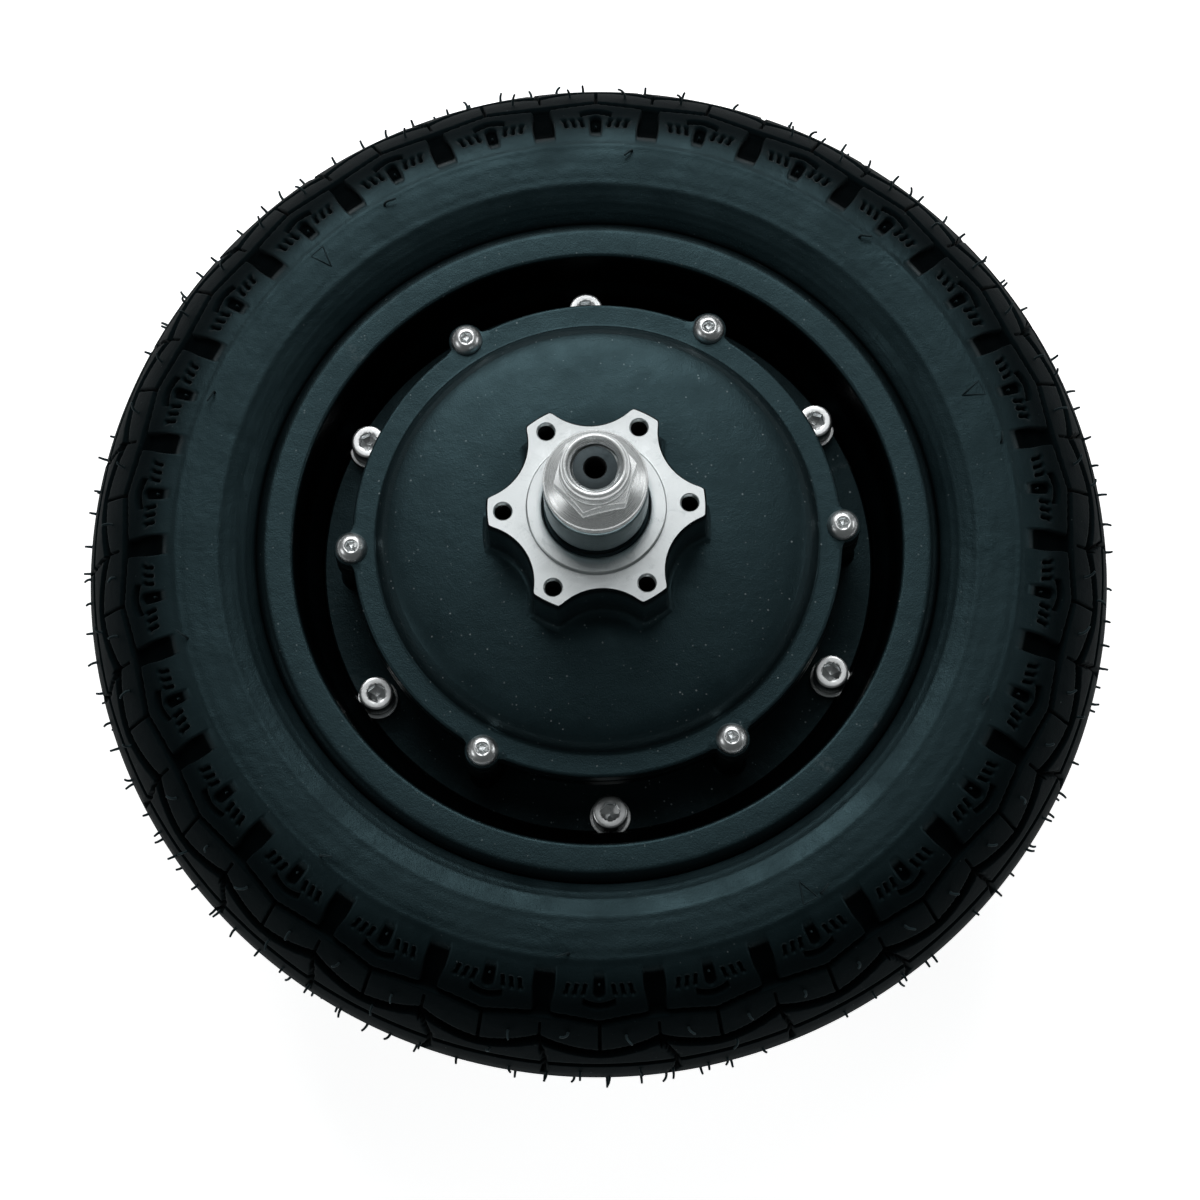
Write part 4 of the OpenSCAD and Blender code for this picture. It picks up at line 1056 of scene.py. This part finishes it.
def axle_geo():
    g = Geo()
    n = 144
    th = np.linspace(0, 2 * PI, n, endpoint=False)
    one = np.ones(n)
    # painted shade: the tapped hole in this end and the bore at the far end take the near-black hole material
    rings = [(one * 0.02, 74.0, 1), (one * 2.5, 75.2, 1)]
    for j in range(64):
        z = 75.4 + j * 0.19
        t = ((j * 0.19 - th / (2 * PI) * 1.0) / 1.0) % 1.0
        rings.append((2.5 + 0.18 * np.abs(t * 2 - 1) - 0.09, z, 1))
    rings += [(one * 2.5, 87.7, 1), (one * 2.66, 87.93, 0), (one * 2.76, 88.0, 0), (one * 4.95, 88.0, 0), (one * 5.1, 87.95, 2), (one * 5.62, 87.35, 2)]
    for j in range(86):
        z = 87.1 - j * 0.16
        t = ((j * 0.16 + th / (2 * PI) * 1.25) / 1.25) % 1.0
        rings.append((5.62 + 0.33 * np.abs(t * 2 - 1), z, 2))
    rings += [(one * r, z, 0) for r, z in ((5.95, 73.2), (6, 73.0), (6, 50.62), (7.1, 50.6), (7.5, 50.2), (7.5, 1.0), (7.52, 0.96), (8.96, 0.96), (9, 0.9), (9, -27.86), (8.96, -27.9), (8.5, -27.9),
                                              (8.5, -35.16), (8.46, -35.2), (7.0, -35.2))]
    fl = np.minimum(7.0, 5.0 / np.maximum(np.abs(np.sin(th)), 1e-6))
    rings += [(one * 7.0, -59.75, 0), (fl, -59.82, 0)]
    for j in range(118):
        z = -60.4 - j * 0.23
        t = ((j * 0.23 + th / (2 * PI) * 1.5) / 1.5) % 1.0
        thr = 6.55 + 0.42 * np.abs(t * 2 - 1)
        rings.append((np.minimum(fl, thr), z, 0))
    rings += [(np.minimum(fl, 5.9), -88.2, 0), (np.minimum(fl, 5.7), -88.4, 0), (one * 3.7, -88.4, 1), (one * 3.5, -88.2, 1), (one * 3.5, -21.0, 1), (one * 0.02, -21.0, 1)]
    lathe(g, rings, th=th)
    return g


def spacer_geo():
    return lathe(Geo(), rounded([(7.55, 50.02), (9, 50.02), (9, 60.6), (11.7, 60.6), (12.15, 61), (12.2, 62), (12.2, 73.6), (11.9, 74.6), (11.3, 74.98), (6.05, 74.98),
                                 (6.05, 50.65), (7.55, 50.65)], 0.3, closed=True), 240, closed=True)


def cable_spacer_geo():
    return lathe(Geo(), rounded([(7.05, -35.3), (10, -35.3), (10, -43), (11.5, -43), (12, -43.5), (12, -50), (11.9, -50.1), (11.9, -50.5), (12, -50.6), (12, -59.5), (11.5, -60), (7.05, -60)], 0.3, closed=True), 192, closed=True)


def cable_nut_geo():
    g = Geo()
    th = np.linspace(0, 2 * PI, 240, endpoint=False)
    one = np.ones(240)
    H = hexr(th - rad(-12), 19)
    z0 = -63.04
    fl = [(7.05, 0), (13.2, 0), (13.6, 0.4), (13.6, 1.4), (13.0, 2.2), (11.6, 2.75)]
    rings = [(one * r, z0 - z) for r, z in rounded(fl, 0.2)]
    rings += [(np.minimum(H + 0.3, 11.3), z0 - 2.95), (H - 0.03, z0 - 3.3), (H - 0.03, z0 - 6), (H - 0.03, z0 - 9.6)]
    for z in np.linspace(9.8, 11.9, 8):
        rings.append((smin(H - 0.03, one * (11.0 - max(0, z - 10.2) * 0.75), 0.1), z0 - z))
    rings += [(one * 9.3, z0 - 12), (one * 8.0, z0 - 12), (one * 7.5, z0 - 11.7)]
    for j in range(46):
        t = ((j * 0.24 - th / (2 * PI) * 1.5) / 1.5) % 1.0
        rings.append((6.75 + 0.42 * np.abs(t * 2 - 1), z0 - 11.3 + j * 0.24))
    rings += [(one * 7.05, z0 - 0.2), (one * 7.05, z0)]
    return lathe(g, rings, th=th)


def tab_washer_geo():
    g = Geo()
    z1, z0 = -60.02, -63.02
    hw = 4.0
    ang = math.asin(hw / 13.0)
    outline = [(13 * cos(t), 13 * sin(t)) for t in np.linspace(ang, 2 * PI - ang, 120)] + [(14.5, -hw), (16.5, -hw), (18.0, -hw), (18.0, hw), (16.5, hw), (14.5, hw)]
    flat = 5.05
    aa = math.acos(flat / 7.05)
    hole = [(7.05 * cos(t), 7.05 * sin(t)) for t in np.linspace(PI / 2 - 0.0 - (PI / 2 - math.asin(flat / 7.05)) * 0 - 0, 0, 2)][:0]
    t1 = math.asin(flat / 7.05)
    hole = [(7.05 * cos(t), 7.05 * sin(t)) for t in np.linspace(-t1, t1, 24)] + [(7.05 * cos(t), 7.05 * sin(t)) for t in np.linspace(PI - t1, PI + t1, 24)]
    e = 0.25

    def inset(loop, d):
        P = np.array(loop)
        c = P.mean(0)
        q = P - c
        L = np.linalg.norm(q, axis=1)[:, None]
        return [tuple(v) for v in c + q * (1 - d / L)]
    o2, h2 = inset(outline, e), inset(hole, -e)
    plate(g, o2, [h2], z1, True)
    plate(g, o2, [h2], z0, False)
    walls(g, outline, z1 - e, o2, z1)
    walls(g, outline, z0 + e, outline, z1 - e)
    walls(g, o2, z0, outline, z0 + e)
    walls(g, hole, z1 - e, h2, z1, flip=True)
    walls(g, hole, z0 + e, hole, z1 - e, flip=True)
    walls(g, h2, z0, hole, z0 + e, flip=True)
    # the tab, bent up towards the frame with a round bend
    V, F = [], []
    sec = [(18.0 - 0.05, z0), (19.2, z0 + 0.08), (20.2, z0 + 0.6), (20.8, z0 + 1.6), (21.0, z0 + 2.8), (21.0, -54.6), (20.7, -54.1), (20.2, -54.02), (18.8, -54.02), (18.2, -54.2), (18.0, -54.7), (18.0, z1 + 0.35), (17.9, z1), (17.5, z1)]
    k = len(sec)
    ys = [(-hw, 0.25), (-hw + 0.25, 0), (hw - 0.25, 0), (hw, 0.25)]
    cx, cz = np.mean([p[0] for p in sec]), np.mean([p[1] for p in sec])
    for y, ins in ys:
        for x, z in sec:
            d = math.hypot(x - cx, z - cz)
            f = 1 - ins / d * 0.6
            V.append((cx + (x - cx) * f, y, cz + (z - cz) * f))
    for i in range(len(ys) - 1):
        for j in range(k):
            F.append((i * k + j, i * k + (j + 1) % k, (i + 1) * k + (j + 1) % k, (i + 1) * k + j))
    F.append(tuple(range(k)))
    F.append(tuple(reversed(range((len(ys) - 1) * k, len(ys) * k))))
    g.add(V, F)
    return g


def seal_geo(r1, r2, z1, z2, up):
    """A lip seal: outer case, dished face, a lip with its garter spring groove."""
    s = 1 if up else -1
    top, bot = (z2, z1) if up else (z1, z2)
    m = (r1 + r2) / 2
    w = r2 - r1
    prof = [(r2, bot + 0.3 * s), (r2, top - 0.35 * s), (r2 - 0.35, top), (r2 - 0.28 * w, top), (r2 - 0.36 * w, top - 0.25 * s), (r2 - 0.42 * w, top - 1.0 * s), (m - 0.12 * w, top - 1.15 * s),
            (r1 + 0.26 * w, top - 0.95 * s), (r1 + 0.16 * w, top - 0.35 * s), (r1 + 0.06 * w, top - 0.25 * s), (r1 - 0.0, top - 0.5 * s), (r1 + 0.02, top - 1.2 * s), (r1 + 0.25, top - 2.2 * s),
            (r1 + 0.3, bot + 0.9 * s), (r1 + 0.6, bot), (r2 - 0.3, bot)]
    return lathe(Geo(), rounded(prof, 0.15, closed=True), 180, closed=True)


def grommet_geo():
    prof = [(2.75, -76), (3.2, -76), (3.45, -76.4), (3.45, -88.45), (5.3, -88.45), (5.35, -88.9), (5.2, -89.4), (4.7, -89.95), (4.4, -90), (3.6, -90), (3.1, -89.8), (2.75, -89.3)]
    return lathe(Geo(), rounded(prof, 0.15, closed=True), 96, closed=True)


def valve_geo():
    """A bent valve: from the rim's well into the recess, then out towards the cable side, with a thread for its cap."""
    g = Geo()
    n = 48
    # arm along +X, elbow, and the stem down -Z, as one swept tube
    path, rr = [], []
    for x in np.linspace(74.1, 66.8, 10):
        path.append((x, 0, -8.0))
        rr.append(2.5 if x > 71.9 else 3.9 if x < 71.6 else 3.4)
    R = 4.3
    for t in np.linspace(0, PI / 2, 14):
        path.append((62.5 + R - R * sin(t), 0, -8.0 - R + R * cos(t)))
        rr.append(3.88)
    for z in np.linspace(-12.8, -25.4, 8):
        path.append((62.5, 0, z))
        rr.append(3.88 if z > -24.9 else 3.7)
    path += [(62.5, 0, -25.9), (62.5, 0, -26.0)]
    rr += [3.3, 2.6]
    P = np.array(path)
    T = np.gradient(P, axis=0)
    T /= np.linalg.norm(T, axis=1)[:, None]
    V, F = [], []
    for i, p in enumerate(P):
        x = np.array([0.0, 1, 0])
        y = np.cross(T[i], x)
        for a in range(n):
            t = 2 * PI * a / n
            V.append(p + rr[i] * (cos(t) * x + sin(t) * y))
    k = len(P)
    for i in range(k - 1):
        for a in range(n):
            F.append((i * n + a, i * n + (a + 1) % n, (i + 1) * n + (a + 1) % n, (i + 1) * n + a))
    F.append(tuple(range(n - 1, -1, -1)))
    g.add(V, F)
    th = np.linspace(0, 2 * PI, n, endpoint=False)
    rows = []
    for j in range(30):
        t = ((j * 0.165 + th / (2 * PI) * 0.8) / 0.8) % 1.0
        rows.append((2.36 + 0.24 * np.abs(t * 2 - 1), -26.0 - j * 0.165))
    rows += [(np.full(n, 2.2), -30.9), (np.full(n, 1.9), -31.0), (np.full(n, 1.3), -31.0), (np.full(n, 1.25), -29.0), (np.full(n, 0.02), -29.0)]
    lathe(g, rows, th=th, centre=(62.5, 0))
    out = Geo()
    return out.joined(g, rotz(200))


def cap_geo():
    g = Geo()
    n = 120
    th = np.linspace(0, 2 * PI, n, endpoint=False)
    rib = 0.42 * smooth01((np.cos(th * 12) - 0.2) / 0.5)
    one = np.ones(n)
    rows = [(one * 2.7, -31.6), (one * 2.7, -26.4), (one * 2.9, -26.2), (one * 3.6, -26.2), (one * 3.85, -26.4), (one * 3.9, -26.9), (3.9 + rib * 0.6, -27.1), (3.88 + rib, -27.6), (3.84 + rib, -30), (3.78 + rib, -32.4),
            (3.7 + rib * 0.6, -33.0), (one * 3.6, -33.3), (one * 3.2, -33.8), (one * 2.6, -34.0), (one * 0.02, -34.0)]
    lathe(g, rows, th=th, centre=(62.5, 0))
    return Geo().joined(g, rotz(200))

# ------------------------------------------------------------------ pieces
build_tyre()
# ---------------------------------------------------------------- pieces kept as the CAD has them
GROUND = metal_mat("ground_bearing_steel", (0.62, 0.64, 0.65), (0.76, 0.78, 0.79), (0.14, 0.28), True, 0.3, 0.20, (0.40, 0.42, 0.43), 7000, 7000, 1.5, 0.25)
BALL = metal_mat("polished_balls", (0.74, 0.76, 0.77), (0.84, 0.86, 0.87), (0.05, 0.14), False, 0, 0.06, (0.50, 0.52, 0.53), mark_amt=0.15)
GEARSTEEL = metal_mat("hobbed_gear_steel", (0.40, 0.41, 0.42), (0.54, 0.55, 0.56), (0.26, 0.42), True, 0.2, 0.35, (0.16, 0.14, 0.12), 5000, 2600, 1.5, 0.4)
TURNED = metal_mat("turned_steel", (0.44, 0.46, 0.47), (0.58, 0.60, 0.61), (0.22, 0.38), True, 0.3, 0.30, (0.20, 0.19, 0.18), 6000, 6000, 1.5, 0.35)
SPRINGST = metal_mat("spring_steel", (0.24, 0.25, 0.26), (0.36, 0.37, 0.38), (0.28, 0.44), False, 0, 0.3, (0.12, 0.11, 0.10), mark_amt=0.4)
CASTAL = metal_mat("cast_aluminium", (0.52, 0.54, 0.55), (0.64, 0.66, 0.67), (0.42, 0.62), False, 0, 0.7, (0.30, 0.31, 0.32), mark_amt=0.4)
BRONZE = metal_mat("sintered_bronze", (0.42, 0.26, 0.10), (0.58, 0.38, 0.16), (0.34, 0.52), False, 0, 0.55, (0.16, 0.09, 0.03), mark_amt=0.5)
NICKEL = metal_mat("nickel_plate", (0.66, 0.64, 0.58), (0.78, 0.76, 0.70), (0.16, 0.30), False, 0, 0.2, (0.40, 0.38, 0.33), mark_amt=0.35)
CORE = laminated_mat("lamination_stack", (0.20, 0.205, 0.21), (0.34, 0.345, 0.35))
WIRE = winding_mat("enamelled_copper")
LINER = plastic_mat("slot_paper", (0.68, 0.64, 0.50), (0.80, 0.77, 0.64), (0.55, 0.75), 1600, 0.5)
BOARD = plastic_mat("board_laminate", (0.008, 0.060, 0.028), (0.014, 0.100, 0.045), (0.30, 0.48), 2200, 0.35)
NYLON = plastic_mat("nylon_gear", (0.70, 0.66, 0.54), (0.82, 0.78, 0.66), (0.34, 0.52), 1500, 0.35)
GASKET = plastic_mat("gasket_paper", (0.050, 0.060, 0.055), (0.095, 0.105, 0.095), (0.65, 0.85), 1300, 0.7)
BUTYL = rubber_mat("inner_tube_butyl", (0.010, 0.011, 0.012), (0.020, 0.022, 0.023), (0.42, 0.60), 0.5)
TAPE = rubber_mat("rim_tape_rubber", (0.22, 0.085, 0.055), (0.32, 0.13, 0.085), (0.55, 0.75), 0.3)

KEPT = {
    "disc_bearing_inner_race": GROUND, "disc_bearing_outer_race": GROUND,
    "cable_bearing_inner_race": GROUND, "cable_bearing_outer_race": GROUND,
    "rotor_bearing_inner_race": GROUND, "rotor_bearing_outer_race": GROUND,
    "disc_bearing_balls": BALL, "cable_bearing_balls": BALL, "rotor_bearing_balls": BALL, "clutch_rollers": BALL,
    "sun_gear": GEARSTEEL, "ring_gear": GEARSTEEL, "planet_gear_1": NYLON, "planet_gear_2": NYLON, "planet_gear_3": NYLON,
    "planet_carrier": TURNED, "planet_pins": GROUND, "pin_circlips": SPRINGST,
    "planet_bush_1": BRONZE, "planet_bush_2": BRONZE, "planet_bush_3": BRONZE,
    "one_way_clutch": TURNED, "bearing_spacer": TURNED, "thrust_washer": BRONZE, "stator_key": TURNED,
    "stator_core": CORE, "stator_hub": CASTAL, "stator_windings": WIRE, "slot_liners": LINER,
    "rotor_can": TURNED, "rotor_magnets": NICKEL, "hall_board": BOARD,
    "cover_gasket": GASKET, "inner_tube": BUTYL, "rim_tape": TAPE, "valve_locknut": NICKEL,
}
for name, mat in KEPT.items():
    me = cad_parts[name].data
    me.materials.clear()
    me.materials.append(mat)

build("tyre_hairs", vent_hairs(), [HAIR], "wheel", sharp=60, weld=False)
build("rim_casting", rim_geo(), [RIMP], "wheel", ["rim"], sharp=30)
build("shell_casting", shell_geo(), [SHELL], "wheel", ["hub_shell"], sharp=30)
build("cover_casting", cover_geo(), [COVER, MACH, HOLE_SHADE], "wheel", ["side_cover"], sharp=30)
build("cover_screw_set", placed(button_head, 6, 59.5, 29.93, 0, [8, 22, 41, 3, 33, 15]), [ZINC], "wheel", ["cover_screws"], sharp=28)
build("rim_screw_set", placed(cap_head, 6, 64.3, 7.66, 30, [12, 35, 50, 5, 27, 44]), [ZINC], "wheel", ["rim_screws"], sharp=28)
build("spring_washer_set", placed(lambda: spring_washer(), 6, 64.3, 6.36, 30, None), [ZINC], "wheel", ["spring_washers"], sharp=28)
build("flat_washer_set", placed(lambda: flat_washer(), 6, 64.3, 5.32, 30, None), [ZINC], "wheel", ["flat_washers"], sharp=28)
build("disc_nut", nut_geo(), [NUT], "axle", ["disc_side_nut"], sharp=28)
build("disc_spacer", spacer_geo(), [SLEEVE], "axle", ["disc_side_spacer"], sharp=28)
build("axle_shaft", axle_geo(), [DARKSTEEL, HOLE_SHADE, GROUND], "axle", ["axle"], sharp=28)
build("cable_spacer", cable_spacer_geo(), [SLEEVE], "axle", ["cable_side_spacer"], sharp=28)
build("cable_nut", cable_nut_geo(), [NUT], "axle", ["cable_side_nut"], sharp=28)
build("tab_washer", tab_washer_geo(), [ZINC], "axle", ["torque_washer"], sharp=28)
build("grommet", grommet_geo(), [SEAL], "axle", ["lead_grommet"], sharp=28)
build("disc_seal", seal_geo(9.05, 12.7, 50.6, 56.2, True), [SEAL], "wheel", ["disc_side_seal"], sharp=28)
build("cable_seal", seal_geo(10.05, 12.95, -40.6, -35.4, False), [SEAL], "wheel", ["cable_side_seal"], sharp=28)
build("valve_body", valve_geo(), [BRASS], "wheel", ["valve_stem"], sharp=28)
build("valve_dust_cap", cap_geo(), [BLACKP], "wheel", ["valve_cap"], sharp=28)

# ------------------------------------------------------------------ stage, light and camera
scene = bpy.context.scene
FLOOR_Z = -0.0903


def stage():
    w = bpy.data.worlds.new("studio")
    scene.world = w
    w.use_nodes = True
    w.node_tree.nodes["Background"].inputs[0].default_value = (0.95, 1.0, 1.0, 1)
    w.node_tree.nodes["Background"].inputs[1].default_value = 0.075
    me = bpy.data.meshes.new("floor")
    s = 3.0
    me.from_pydata([(-s, -s, FLOOR_Z), (s, -s, FLOOR_Z), (s, s, FLOOR_Z), (-s, s, FLOOR_Z)], [], [(0, 1, 2, 3)])
    o = bpy.data.objects.new("floor", me)
    m = Mat("floor_white", Roughness=0.9, Specular_IOR_Level=0.1)
    m.p.inputs["Base Color"].default_value = (0.93, 0.93, 0.93, 1)
    m.p.inputs["Roughness"].default_value = 0.9
    m.p.inputs["Emission Color"].default_value = (1, 1, 1, 1)
    m.p.inputs["Emission Strength"].default_value = 0.88
    me.materials.append(m.m)
    scene.collection.objects.link(o)


def area(name, loc, aim, w, h, power, colour=(1, 1, 1)):
    L = bpy.data.lights.new(name, "AREA")
    L.shape = "RECTANGLE"
    L.size, L.size_y, L.energy, L.color = w, h, power, colour
    o = bpy.data.objects.new(name, L)
    scene.collection.objects.link(o)
    d = Vector(aim) - Vector(loc)
    o.matrix_world = Matrix.Translation(loc) @ d.to_track_quat("-Z", "Y").to_matrix().to_4x4()
    return o


stage()
area("key_north", (-0.08, 1.04, 1.10), (0, 0, 0.02), 1.2, 0.8, 11.5)
area("top_box", (0.06, 0.40, 1.30), (0, 0, 0.02), 0.75, 0.5, 0.95)
area("fill_west", (-1.20, -0.22, 0.90), (0, 0, 0.05), 0.50, 0.32, 1.35)
area("fill_east", (1.25, 0.22, 0.72), (0, 0, 0.05), 0.62, 0.30, 1.30)

THETA, DIST, ROLL, TX, TY = 0.256, 0.8997, -0.031, 0.000198, -0.008004
PHASE = -0.0165
dv = Vector((0, -sin(THETA), cos(THETA)))
C = Vector((TX, TY, 0)) + dv * DIST
rv, uv = Vector((1, 0, 0)), Vector((0, cos(THETA), sin(THETA)))
r2 = rv * cos(ROLL) + uv * sin(ROLL)
u2 = -rv * sin(ROLL) + uv * cos(ROLL)
M = Matrix(((r2.x, u2.x, dv.x, C.x), (r2.y, u2.y, dv.y, C.y), (r2.z, u2.z, dv.z, C.z), (0, 0, 0, 1)))
cam = bpy.data.cameras.new("camera")
cam.lens = 36 * 3606.55 / 1200
cam.sensor_width = 36
cam.clip_start, cam.clip_end = 0.01, 10
co = bpy.data.objects.new("camera", cam)
scene.collection.objects.link(co)
co.matrix_world = Matrix.Rotation(PHASE, 4, "Z") @ M
scene.camera = co
scene.view_settings.view_transform = "Standard"
scene.view_settings.look = "None"
scene.view_settings.exposure = 0
scene.view_settings.gamma = 1
